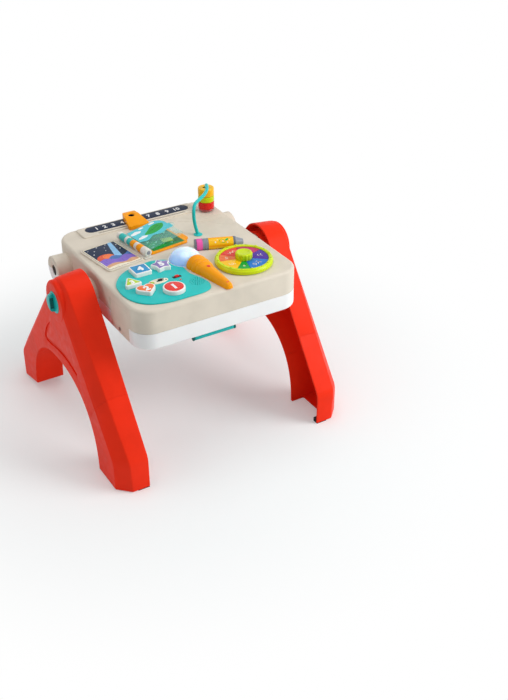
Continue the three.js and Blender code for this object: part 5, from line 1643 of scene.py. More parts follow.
@dataclass
class DomeLight:
    """The frosted dome in its collar, and the orange cone that points to the front."""

    place: tuple[float, float] = (-0.011, -0.243)
    radius: float = 31.0
    height: float = 25.0
    base_r: float = 34.0
    cone_place: tuple[float, float] = (0.029, -0.373)
    cone_turn: float = 4.8
    length: float = 122.0
    half_width: float = 21.5
    rise: float = 22.0
    sections: tuple[tuple[float, float, float], ...] = (
        (0, 0.88, 0.88), (0.02, 0.97, 0.97), (0.06, 1, 1), (0.125, 1, 1), (0.145, 0.93, 0.94), (0.16, 0.93, 0.94),
        (0.18, 1, 0.99), (0.23, 0.97, 0.96), (0.25, 0.88, 0.9), (0.265, 0.88, 0.9), (0.285, 0.94, 0.92),
        (0.33, 0.86, 0.86), (0.36, 0.78, 0.8), (0.62, 0.63, 0.68), (0.88, 0.47, 0.55), (0.95, 0.4, 0.46),
        (0.985, 0.3, 0.36), (1, 0.16, 0.2),
    )

    def centre(self) -> Point:
        """Where the dome stands."""
        return DECK.spot(*self.place)

    def hole(self) -> Shape:
        """The dome's hole in the deck."""
        return DECK.through(circle(*self.centre(), self.radius + SLACK, 72))

    def build(self) -> None:
        """Builds the dome, its collar and the cone."""
        top = DECK.top
        foot = DECK.ceiling - FIT - 3
        r, crown_z, wall = self.radius, top + self.height, 2.0
        profile = [
            (0, crown_z - wall), *reversed(self.curve(r - wall, top + 2, self.height - 2 - wall, 20)),
            (r - wall, foot), (r + 2.6, foot), (r + 2.6, foot + 3), (r, foot + 3),
            *self.curve(r, top + 2, self.height - 2, 20), (0, crown_z),
        ]
        # The dome's finish carries painted light: a highlight at its crown, shade at one low side and a glow
        glow = FrostedDome("frosted_dome", "clear_blue", "#CDE7FD", centre=(*self.centre(), top + 10))
        add_piece("glow_dome", turned(profile, Axis.Z, self.centre(), 96), "dome_button", glow, ("light_dome",))
        collar = [
            (r + SLACK, top + FIT), (self.base_r, top + FIT), (self.base_r, top + 1.4),
            (self.base_r - 1, top + 2.3), (r + SLACK, top + 2.3), (r + SLACK, top + FIT),
        ]
        collar = turned(softened_profile(collar, 0.5, 3, True), Axis.Z, self.centre(), 96)
        add_piece("dome_collar", collar, UNIT, Colours.rim, ("light_collar",))
        self.cone()
        dress_node("lamp_board", Colours.board)

    def curve(self, radius: float, start: float, rise: float, steps: int) -> list[Point]:
        """A quarter of an ellipse, without its crown.

        Args:
            radius: Its radius at its foot.
            start: The height of its foot.
            rise: How far it rises.
            steps: How many points.

        Returns:
            Pairs of radius and height.
        """
        angles = [QUARTER * i / steps for i in range(steps)]
        return [(radius * math.cos(angle), start + rise * math.sin(angle)) for angle in angles]

    def section(self, along: float, width: float, height: float) -> Ring:
        """One section across the cone: flat below and round above.

        Args:
            along: Its share of the cone's length.
            width, height: Its shares of the cone's half width and rise.

        Returns:
            The section's points.
        """
        half, rise = self.half_width * width, self.rise * height
        ring, steps, power = [], 40, 0.92
        for i in range(steps + 1):
            angle = 2 * QUARTER * i / steps
            bulge = max(0.0, math.sin(angle)) ** power
            ring.append(Vector((half * math.cos(angle), -along * self.length, DECK.top + FIT + rise * bulge)))
        return ring

    def cone(self) -> None:
        """The cone, hollowed where the dome stands, with a pressed mark behind its ribs."""
        here = at(*DECK.spot(*self.cone_place), turn=self.cone_turn)
        rings = softened_rings([self.section(*share) for share in self.sections], 2.2, 4)
        foot, rise, reach = DECK.top + 2.9, 23.6, self.base_r + FIT
        room = [
            (0, DECK.ceiling), (reach, DECK.ceiling), (reach, foot),
            *self.curve(self.radius + SLACK, foot, rise, 16), (0, foot + rise),
        ]
        body = loft(rings).moved(here).cut(turned(room, Axis.Z, self.centre(), 96))
        add_piece("orange_cone", body.bevelled(0.7, 2, 45), UNIT, Colours.orange, ("light_cone",), smooth=50)
        tip = turned([(0, 0), (2.6, 0), (2.2, 0.35), (0, 0.5)], Axis.Z, (0, 0), 24)
        lean = here @ Matrix.Translation((0, -self.length * 0.925, DECK.top + 10.9)) @ Matrix.Rotation(
            math.radians(24), 4, "X"
        )
        add_piece("cone_tip_mark", tip, UNIT, Colours.orange_print, place=lean)
        flame = [(-1.5, -4), (1.6, -4), (3.2, 0), (1.4, 4.2), (0, 1.6), (-1.5, 4.4), (-3.2, 0)]
        badge = slab(smooth_closed(flame, 4), 0, 0.4, 0.15)
        lean = here @ Matrix.Translation((0, -self.length * 0.405, DECK.top + 17.15)) @ Matrix.Rotation(
            math.radians(6), 4, "X"
        )
        add_piece("cone_badge", badge, UNIT, Colours.red_print, place=lean)


# The control plate


@dataclass
class ControlPlate:
    """The teal plate with five shaped buttons, two switches, an oval label and the speaker's grille."""

    shares: tuple[Point, ...] = (
        (-0.92, -0.373), (-0.8, -0.227), (-0.674, -0.154), (-0.486, -0.112), (-0.343, -0.102), (-0.206, -0.154),
        (-0.13, -0.279), (-0.12, -0.415), (-0.12, -0.54), (-0.075, -0.65), (-0.055, -0.723), (-0.045, -0.802),
        (-0.08, -0.89), (-0.171, -0.935), (-0.394, -0.944), (-0.611, -0.938), (-0.806, -0.875), (-0.909, -0.765),
        (-0.955, -0.608), (-0.95, -0.488),
    )
    places: tuple[Point, ...] = (
        (-0.446, -0.765), (-0.709, -0.676), (-0.783, -0.473), (-0.577, -0.269), (-0.331, -0.285),
    )
    bodies: tuple[str, ...] = ("round_button", "heart_button", "triangle_button", "square_button", "star_button")
    switches: tuple[Point, ...] = ((-0.48, -0.528), (-0.286, -0.54))
    grille: Point = (-0.149, -0.723)
    round_r: float = 21.0
    heart_half: float = 19.0
    triangle_r: float = 22.0
    square_half: float = 17.5
    star_r: float = 22.0
    slot_half: Point = (7.4, 2.1)
    low: float = 351.3
    thickness: float = 2.7
    button_rise: float = 8.0

    @property
    def top(self) -> float:
        """The height of the plate's face."""
        return self.low + self.thickness

    def heart(self, half: float) -> Outline:
        """Two round lobes over a rounded tip.

        Args:
            half: Half its width.

        Returns:
            The outline.
        """
        lobe = half / (1 + math.sqrt(0.5))
        reach, tip_y = lobe * math.sqrt(0.5), (4.0 - lobe) * math.sqrt(2)
        return [
            *arc(reach, reach, lobe, -QUARTER / 2, 1.5 * QUARTER, 20),
            *arc(-reach, reach, lobe, QUARTER / 2, 2.5 * QUARTER, 20)[1:],
            *arc(0, tip_y, 4.0, 2.5 * QUARTER, 3.5 * QUARTER, 8),
        ]

    def star(self, radius: float) -> Outline:
        """A plump star with rounded tips.

        Args:
            radius: How far its tips reach.

        Returns:
            The outline.
        """
        corners = []
        for i in range(10):
            angle, reach = QUARTER + 2 * QUARTER * i / 5, radius * (0.62 if i % 2 else 1)
            corners.append((reach * math.cos(angle), reach * math.sin(angle)))
        return rounded_polygon(corners, 2.5, 6)

    def outlines(self) -> list[Outline]:
        """The five buttons' outlines in their places.

        Returns:
            The outlines, in the order of the buttons' numbers.
        """
        triangle = rounded_polygon(arc(0, 0, self.triangle_r, QUARTER, QUARTER + TURN * 2 / 3, 2), 4.0)
        square = rounded_rect(about(0, self.square_half), about(0, self.square_half), 4.0)
        shapes = [circle(0, 0, self.round_r, 72), self.heart(self.heart_half), triangle, square, self.star(self.star_r)]
        placed = []
        for shape, share in zip(shapes, self.places):
            x, y = DECK.spot(*share)
            placed.append([(u + x, v + y) for u, v in shape])
        return placed

    def holes(self) -> list[Shape]:
        """The deck's openings for the buttons and the switches.

        Returns:
            The cutters.
        """
        cutters = [DECK.through(inset(outline, -SLACK)) for outline in self.outlines()]
        return cutters + [self.switch_slot(share, DECK.cut_z) for share in self.switches]

    def switch_slot(self, share: Point, z: Span) -> Shape:
        """The slot that a switch's neck runs in, between two heights."""
        x, y = DECK.spot(*share)
        return block(about(x, self.slot_half[0]), about(y, self.slot_half[1]), z)

    def build(self) -> None:
        """Builds the plate and everything on it."""
        outline = list(reversed(smooth_closed([DECK.spot(*share) for share in self.shares], 7)))
        plate = slab(outline, self.low, self.top, 1.5, 0.2, steps=6)
        through, light = widened((self.low, self.top), OVERRUN), DomeLight()
        cutters = [slab(inset(shape, -SLACK), *through) for shape in self.outlines()]
        cutters.append(rod(Axis.Z, light.centre(), light.base_r + FIT, *through))
        cutters += [self.switch_slot(share, through) for share in self.switches]
        cutters.append(self.grille_holes())
        add_piece("teal_plate", plate.cut(*cutters), UNIT, Colours.plate, ("control_plate",), smooth=30)
        cloth = rod(Axis.Z, DECK.spot(*self.grille), 16.6, self.low + 0.1, self.low + 0.5)
        add_piece("grille_cloth", cloth, UNIT, Colours.dark)
        self.buttons()
        self.marks()
        self.slides()
        dress_node("speaker", Colours.dark)
        dress_node("circuit_board", Colours.board)

    def grille_holes(self) -> Shape:
        """Rings of short slots over the speaker, each pointing to its middle.

        Returns:
            The slots as one cutter.
        """
        centre = at(*DECK.spot(*self.grille), 0.0)
        slots = [rod(Axis.Z, (0, 0), 1.3, self.low + 0.4, self.top + OVERRUN, steps=12).moved(centre)]
        for reach, count in ((4.4, 7), (9.0, 13), (13.6, 19)):
            for i in range(count):
                turn = Matrix.Rotation(TURN * i / count, 4, "Z")
                outline = rounded_rect(about(reach, 1.5), about(0, 0.75), 0.7, 3)
                slots.append(slab(outline, self.low + 0.4, self.top + OVERRUN).moved(centre @ turn))
        return gathered(slots)

    def buttons(self) -> None:
        """White bodies with coloured faces and white numbers."""
        # Each face's ink, the white rim round it, its number's size and how far that sits off the middle
        faces = (
            (Colours.red_print, 3.0, 17.0, 0.0), (Colours.orange_print, 2.8, 15.0, 2.5),
            (Colours.lime_print, 2.6, 12.5, -1.5), (Colours.blue_print, 2.8, 15.5, 0.0),
            (Colours.purple_print, 2.2, 15.0, 0.0),
        )
        top = self.top + self.button_rise
        foot = DECK.ceiling - FIT - 3
        for i, (outline, name, (ink, rim, size, shift)) in enumerate(zip(self.outlines(), self.bodies, faces)):
            cap = slab(outline, foot, top - 0.3, 1.5, steps=5)
            flange = slab(inset(outline, -SLACK - 2), foot, foot + 3)
            add_piece(name, cap.joined(flange), name, Colours.rim, (f"button_{i + 1}",))
            add_piece(f"{name}_face", slab(inset(outline, rim), top - 0.7, top - 0.1, 0.25), name, ink)
            x, y = DECK.spot(*self.places[i])
            mark = digits(str(i + 1), size, 0.3, 0.055).moved(at(x, y + shift, top + 0.02))
            add_piece(f"{name}_number", mark, name, Colours.white_print)

    def marks(self) -> None:
        """The oval label beside the first switch, and the small marks beside the second."""
        x, y = DECK.spot(*self.switches[0])
        low = self.top - 0.1
        label = slab(oval(x - 4, y - 0.5, 20, 9.5), low, low + 0.35, 0.12)
        heights = (low - 1, low + 2)
        label = label.cut(self.switch_slot(self.switches[0], heights))
        add_piece("switch_label", label, UNIT, Colours.cream_print)
        spots = [
            ("label_lime", [oval(x - 17, y - 1, 4.2, 4.4)], Colours.lime_print),
            ("label_orange", [oval(x - 19, y + 2, 1.6, 1.6), oval(x - 14.6, y - 3.5, 1.3, 1.3)], Colours.orange_print),
            ("label_dark", [rounded_rect((x - 2, x + 10), (y + 3.4, y + 6), 1.1), oval(x + 11.5, y - 2, 1.5, 1.5)],
             Colours.mark),
        ]
        for name, outlines, finish in spots:
            add_piece(name, gathered([slab(o, low, low + 0.5, 0.08) for o in outlines]), UNIT, finish)
        x, y = DECK.spot(*self.switches[1])
        plate = slab(rounded_rect(about(x, 9), about(y, 4.2), 2.2), low, low + 0.3, 0.1)
        plate = plate.cut(self.switch_slot(self.switches[1], heights))
        add_piece("second_switch_plate", plate, UNIT, Colours.mark)
        lamp = turned([(0, low - 0.2), (2.0, low - 0.2), (1.8, low + 0.5), (0, low + 0.9)], Axis.Z, (x + 1, y - 13), 32)
        ring = band(circle(x + 1, y - 13, 3.2), circle(x + 1, y - 13, 2.2), low - 0.2, low + 0.35)
        add_piece("lamp_lens", lamp, UNIT, Colours.red)
        add_piece("lamp_ring", ring, UNIT, Colours.page_knuckle)

    def slides(self) -> None:
        """The two slide switches, each with ribs for a finger."""
        bottom, kinds = DECK.ceiling - 3.3, (("power", Colours.dark), ("volume", Colours.red))
        for share, (kind, finish) in zip(self.switches, kinds):
            x, y = DECK.spot(*share)
            low = self.top + FIT
            cap = block(about(x, 4), about(y, 2.6), (low, low + 2.6), 0.7)
            ribs = [block(about(u, 0.45), about(y, 2.2), (low + 2, low + 3.3), 0.3) for u in (x - 2, x, x + 2)]
            neck = block(about(x, 2.8), about(y, 1.5), (bottom, low + FIT))
            foot = block(about(x, 2.8), about(y, 3.5), (bottom, DECK.ceiling - FIT))
            slide = gathered([cap, *ribs, neck, foot])
            add_piece(f"{kind}_switch_cap", slide, f"{kind}_slide", finish, (f"{kind}_switch",))


# The pencil roller


@dataclass
class PencilRoller:
    """The pencil that lies in the deck and rolls about its own length."""

    place: tuple[float, float] = (0.474, -0.159)
    turn: float = -21.0
    half: float = 49.0
    radius: float = 12.0
    axis_z: float = 359.0
    barrel: Span = (-21.56, 31.36)
    cap: float = 3.5
    bore: float = 3.1

    def frame(self) -> Matrix:
        """Where the pencil lies."""
        return at(*DECK.spot(*self.place), turn=self.turn)

    def well(self) -> Shape:
        """The hollow in the deck that the pencil turns in.

        Returns:
            The cutter.
        """
        half = math.sqrt(self.radius**2 - 64) + 2 * SLACK
        return block((self.cap - self.half, self.barrel[1]), about(0, half), DECK.cut_z).moved(self.frame())

    def length(self, profile: list[Point], soft: float = 0.5) -> Shape:
        """A round length of the pencil, bored for its axle.

        Args:
            profile: Pairs of radius and place along the pencil.
            soft: How far from a corner its rounding starts.

        Returns:
            The shape.
        """
        low, high = profile[0][1], profile[-1][1]
        rows = [(self.bore, low), *profile, (self.bore, high), (self.bore, low)]
        return turned(softened_profile(rows, soft, 3, True), Axis.X, (0, self.axis_z), 72)

    def build(self) -> None:
        """Builds the pencil from its eraser to its tip."""
        here, r = self.frame(), self.radius
        start, end = self.barrel
        cap_end = -self.half + self.cap
        above = block(about(0, 60), about(0, 30), (DECK.top + FIT, DECK.top + 40))
        cap = rod(Axis.X, (0, self.axis_z), r - 0.3, -self.half, cap_end, 1.2).common(above)
        add_piece("pencil_end", cap, UNIT, Colours.graphite, ("roller_axle",), here)
        split = start - (start - cap_end - FIT) * 0.5
        eraser = self.length([(r, cap_end + FIT), (r, split)], 0.8)
        add_piece("pencil_eraser", eraser, "roller", Colours.eraser, ("roller_eraser",), here)
        rows = [(r, split + 0.2)]
        for step in range(4):
            u = split + 1.2 + step * 2.9
            rows += [(r, u), (r - 0.7, u + 0.5), (r - 0.7, u + 1.2), (r, u + 1.7)]
        rows.append((r, start - FIT))
        add_piece("pencil_ferrule", self.length(rows, 0.25), "roller", Colours.ferrule, place=here)
        add_piece("pencil_barrel", self.length([(r, start), (r, end - 3.2)], 0.4), "roller", Colours.yellow,
                  ("roller_barrel",), here)
        line = self.length([(r - 0.15, end - 3.0), (r - 0.15, end - FIT)], 0.2)
        add_piece("pencil_line", line, "roller", Colours.graphite, place=here)
        stripes = [self.stripe(side * QUARTER, start + 0.5, end - 3.6) for side in range(4)]
        add_piece("pencil_facets", gathered(stripes), "roller", Colours.orange, place=here)
        self.motifs(here)
        tip = [
            (0, end), (r - 0.2, end), (r - 0.2, end + 2.4), (r - 2.2, end + 4.2), (5.6, self.half - 0.8),
            (4.6, self.half), (0, self.half),
        ]
        tip = turned(softened_profile(tip, 0.8, 4), Axis.X, (0, self.axis_z), 72).common(above)
        add_piece("pencil_tip", tip, UNIT, Colours.ferrule, ("roller_tip",), here)

    def wrapped(self, outline: Outline, angle: float, rise: float) -> Shape:
        """Wraps a flat outline round the barrel.

        Args:
            outline: Points along the barrel and round it, in millimetres.
            angle: Where its middle lies round the barrel.
            rise: How far it stands proud.

        Returns:
            The shape.
        """
        rings = []
        for radius in (self.radius - 0.3, self.radius + rise):
            ring = []
            for u, v in outline:
                a = angle + v / self.radius
                ring.append(Vector((u, radius * math.cos(a), self.axis_z + radius * math.sin(a))))
            rings.append(ring)
        return loft(rings)

    def stripe(self, angle: float, start: float, end: float) -> Shape:
        """One of the barrel's long orange stripes."""
        across = (1.6, 0.8, 0.0, -0.8, -1.6)
        return self.wrapped([(end, v) for v in reversed(across)] + [(start, v) for v in across], angle, 0.06)

    def motifs(self, here: Matrix) -> None:
        """Leaves and dots round the barrel, four times.

        Args:
            here: The pencil's place.
        """
        leaves, dots = [], []
        for side in range(4):
            angle = (side + 0.5) * QUARTER
            leaves.append(self.wrapped(oval(6, 0, 6.5, 3.6, 0.3, 20), angle, 0.12))
            leaves.append(self.wrapped(oval(15, -2.6, 3.8, 2.2, -0.5, 16), angle, 0.12))
            dots += [
                self.wrapped(oval(u, v, size, size, 0, 12), angle, 0.2)
                for u, v, size in ((-8, 1.5, 1.8), (-4, -3, 1.0), (7, 0.5, 1.3), (16, 3.2, 1.2), (20, -1, 0.9))
            ]
        add_piece("pencil_leaves", gathered(leaves), "roller", Colours.leaf, place=here)
        add_piece("pencil_dots", gathered(dots), "roller", Colours.cream_print, place=here)


# The spinning wheel


@dataclass
class SpinWheel:
    """The lime ring with its disc of coloured sectors and its ridged knob."""

    centre: Point = (91.075, -139.9485)
    radius: float = 57.0
    rim: float = 9.0
    rise: float = 12.0
    disc_rise: float = 9.8
    peg_depth: float = 5.2
    axle_r: float = 4.3
    knob_r: float = 17.0
    knob_height: float = 12.5
    sectors: tuple[tuple[float, float, Finish], ...] = (
        (78, 133, Colours.red_print), (133, 168, Colours.orange_print), (168, 224, Colours.yellow_print),
        (224, 256, Colours.leaf), (256, 322, Colours.deep_blue_print), (322, 378, Colours.violet_print),
        (18, 78, Colours.magenta_print),
    )

    def hole(self) -> Shape:
        """The axle's hole in the deck."""
        return DECK.through(circle(*self.centre, self.axle_r, 24))

    def build(self) -> None:
        """Builds the wheel."""
        low, top = DECK.top + SLACK, DECK.top + self.rise
        r, inner, disc_top = self.radius, self.radius - self.rim, DECK.top + self.disc_rise
        profile = [
            (6, low), (r - 1.5, low), (r, low + 2), (r, top - 4.2), (r - 1.8, top - 2.4), (r - 2.4, top - 0.6),
            (r - 3.4, top), (inner + 2.2, top), (inner + 0.6, top - 0.8), (inner, top - 1.8), (inner, disc_top - 5.3),
            (inner - 3, disc_top - 5.3), (inner - 6, low + 3), (6, low + 3), (6, low),
        ]
        ring = turned(softened_profile(profile, 0.9, 3, True), Axis.Z, self.centre, 144)
        middle = r - self.peg_depth
        notches = [
            rod(Axis.Z, self.on_rim(45 * i + 10, middle), 1.7, top - 1.1, top + OVERRUN, steps=20) for i in range(8)
        ]
        add_piece("wheel_rim", ring.cut(gathered(notches)), "wheel", Colours.lime, ("wheel_ring",))
        pin = [(0, top - 1), (2.4, top - 1), (2.2, top + 0.9), (1.2, top + 1.6), (0, top + 1.8)]
        pins = [turned(pin, Axis.Z, self.on_rim(45 * i + 32, middle), 24) for i in range(8)]
        add_piece("wheel_pins", gathered(pins), "wheel", Colours.lime)
        self.disc(disc_top)
        self.knob(disc_top + FIT)
        dress_node("wheel_axle", Colours.rim)

    def on_rim(self, degrees: float, radius: float) -> Point:
        """A place at an angle and a distance from the wheel's middle."""
        angle = math.radians(degrees)
        return (self.centre[0] + radius * math.cos(angle), self.centre[1] + radius * math.sin(angle))

    def disc(self, top: float) -> None:
        """The coloured sectors, with fine grooves between them and a pale curl on each.

        Args:
            top: The disc's height.
        """
        outer, lead = self.radius - self.rim - FIT, 0.35
        curls = []
        for i, (start, end, finish) in enumerate(self.sectors):
            a, b = math.radians(start + lead), math.radians(end - lead)
            steps = max(4, int((end - start) / 3))
            outline = [*arc(*self.centre, outer, a, b, steps), *reversed(arc(*self.centre, 6.2, a, b, steps))]
            stands = ("wheel_disc",) if i == 0 else ()
            add_piece(f"wheel_sector_{i + 1}", slab(outline, top - 5, top - 0.1, 0.4), "wheel", finish, stands)
            curls += self.curl((start + end) / 2, 33.0, min(0.9, (end - start) / 60), i, top)
        add_piece("wheel_curls", gathered(curls), "wheel", Colours.cream_print)

    def curl(self, degrees: float, reach: float, size: float, kind: int, top: float) -> list[Shape]:
        """A small looping line on a sector.

        Args:
            degrees: Where it lies.
            reach: How far from the wheel's middle.
            size: Its share of the full size.
            kind: Which of the patterns.
            top: The disc's height.

        Returns:
            Its strokes.
        """
        angle = math.radians(degrees)
        patterns = (
            [[(-10, -3), (-6, 4), (-2, -3), (2, 4), (6, -3), (10, 3)]],
            [[(-7, 0), (-3, 5), (1, 0), (-3, -4)], [(3, -4), (6, 0), (8, 5)]],
            [[(-6, 4), (0, 6), (5, 2), (1, -2), (-3, 1)], [(5, -5), (7, -2)]],
            [[(-4, 3), (0, 5), (4, 2), (0, -3), (-4, 0)]],
            [[(-12, 0), (-8, 5), (-4, 0), (-8, -4), (-11, -2)], [(-1, 5), (4, 0), (9, 5), (5, -3)], [(2, -5), (7, -6)]],
            [[(-5, 5), (0, 1), (5, 5)], [(-4, -2), (0, -5), (5, -2)]],
            [[(-8, -2), (-3, 3), (2, -2), (7, 3)]],
        )
        strokes = []
        for points in patterns[kind]:
            placed = []
            for u, v in points:
                tangent, out = u * size, reach + v * size
                placed.append((
                    self.centre[0] + out * math.cos(angle) - tangent * math.sin(angle),
                    self.centre[1] + out * math.sin(angle) + tangent * math.cos(angle),
                ))
            strokes.append(stroke(placed, 1.15, top - 0.3, top + 0.12, 6))
        return strokes

    def knob(self, low: float) -> None:
        """The knob: round ridges up its side, a soft shoulder and a shallow dish on top.

        Args:
            low: The height of its foot.
        """
        (x, y), top, ridges, steps = self.centre, low + self.knob_height, 14, 196

        def ring(draw: float, height: float, ridge: float = 1.0) -> Ring:
            """A level of the knob.

            Args:
                draw: How far it is drawn in.
                height: Its height.
                ridge: How deep its ridges are.

            Returns:
                The level's points.
            """
            points = []
            for i in range(steps):
                angle = TURN * i / steps
                radius = self.knob_r - draw - ridge * (0.5 - 0.5 * math.cos(ridges * angle))
                points.append(Vector((x + radius * math.cos(angle), y + radius * math.sin(angle), height)))
            return points

        rings = [ring(0.4, low), ring(0, low + 0.5)]
        rings += [ring(draw, top - drop, 1 - 0.7 * draw / 3.6) for draw, drop in edge_levels(3.6, 8)]
        rings += [ring(4.6, top - 0.1, 0.2), ring(6.4, top - 0.9, 0), ring(10.5, top - 1.3, 0)]
        bore = rod(Axis.Z, self.centre, self.axle_r, low - OVERRUN, top - 3)
        add_piece("wheel_grip_knob", loft(rings).cut(bore), "wheel_grip", Colours.lime, ("wheel_knob",), smooth=50)


# The bead run


@dataclass
class BeadRun:
    """The bent teal rod with its round feet and three beads."""

    front: Point = (0.423, 0.206)
    back: Point = (0.846, 0.713)
    rod_r: float = 3.5
    top: float = 62.2
    bend: float = 16.0
    bulge: float = 7.5
    bead_r: float = 17.0
    bore: float = 6.5

    def feet(self) -> tuple[Vector, Vector]:
        """The rod's two feet on the deck."""
        return (Vector(DECK.spot(*self.front)), Vector(DECK.spot(*self.back)))

    def holes(self) -> list[Shape]:
        """The feet's holes in the deck."""
        return [DECK.through(circle(foot.x, foot.y, self.rod_r + FIT, 24)) for foot in self.feet()]

    def line(self) -> Ring:
        """The rod's middle line: up, over and down, bowed to the sides.

        Returns:
            The line's points.
        """
        front, back = self.feet()
        reach = (back - front).length
        ahead = (back - front).normalized()
        leg = self.top - self.bend
        track = [(0.0, -DECK.wall), *[(0.0, leg * i / 8) for i in range(9)]]
        track += arc(self.bend, leg, self.bend, 2 * QUARTER, QUARTER, 12)[1:]
        track += [(self.bend + (reach - 2 * self.bend) * i / 10, self.top) for i in range(1, 10)]
        track += arc(reach - self.bend, leg, self.bend, QUARTER, 0, 12)
        track += [(reach, leg * share) for share in (0.75, 0.5, 0.25, 0)] + [(reach, -DECK.wall)]
        lead = leg + reach
        line = []
        for along, height in track:
            travelled = max(height, 0.0) if along < TINY else min(leg + along, lead)
            side = 0.0 if abs(along - reach) < TINY else self.bulge * math.sin(TURN * travelled / lead)
            place = front + ahead * along + Vector((-ahead.y, ahead.x)) * side
            line.append(Vector((place.x, place.y, DECK.top + height)))
        return line

    def build(self) -> None:
        """Builds the rod, its feet and the beads."""
        front, back = self.feet()
        side = Vector((front.y - back.y, back.x - front.x, 0)).normalized()
        wire = tube(self.line(), side, self.rod_r, 32)
        add_piece("teal_rod", wire, UNIT, Colours.plate, ("bead_rod",), smooth=40)
        feet, top = [], DECK.top
        flange = [(0, top + FIT), (9, top + FIT), (9, top + 1.1), (7.6, top + 1.9)]
        collar = [(4.6, top + 2.0), (4.0, top + 3.6), (0, top + 3.8)]
        for foot, profile in ((front, flange + collar), (back, [*flange, (0, top + 2.0)])):
            feet.append(turned(softened_profile(profile, 0.6), Axis.Z, (foot.x, foot.y), 48))
        add_piece("teal_rod_feet", gathered(feet), UNIT, Colours.plate)
        self.beads(front, back)

    def beads(self, front: Vector, back: Vector) -> None:
        """Three beads, the lowest with a clear foot.

        Args:
            front, back: The rod's two feet.
        """
        centre = back + (front - back).normalized() * 2
        rows = (
            ("bead_bottom", "bead_red", 2.4, 20.0, Colours.red),
            ("bead_middle", "bead_lime", 22.4, 12.5, Colours.lime),
            ("bead_top", "bead_orange", 34.9, 18.0, Colours.yellow),
        )
        r, bore, gap, foot_height = self.bead_r, self.bore, 0.15, 4.6
        for body, node, rise, height, finish in rows:
            low = DECK.top + rise
            base = low + (foot_height if node == "bead_red" else gap)
            top = low + height - gap
            profile = [
                (bore, base), (r - 1.6, base), (r - 0.2, base + 1.0), (r, base + 2.6), (r, top - 2.6),
                (r - 0.2, top - 1.0), (r - 1.6, top), (bore, top), (bore, base),
            ]
            bead = turned(softened_profile(profile, 0.9, 4, True), Axis.Z, (centre.x, centre.y), 96)
            add_piece(f"{node}_ring", bead, body, finish, (node,))
        low, high = DECK.top + 2.4 + gap, DECK.top + 2.4 + foot_height - 0.1
        foot = [(bore, low), (r - 2.8, low), (r - 0.6, low + 1.65), (r - 0.4, high), (bore, high), (bore, low)]
        foot = turned(softened_profile(foot, 0.8, 4, True), Axis.Z, (centre.x, centre.y), 96)
        add_piece("bead_clear_foot", foot, "bead_bottom", Colours.clear_red)


# The drawing side


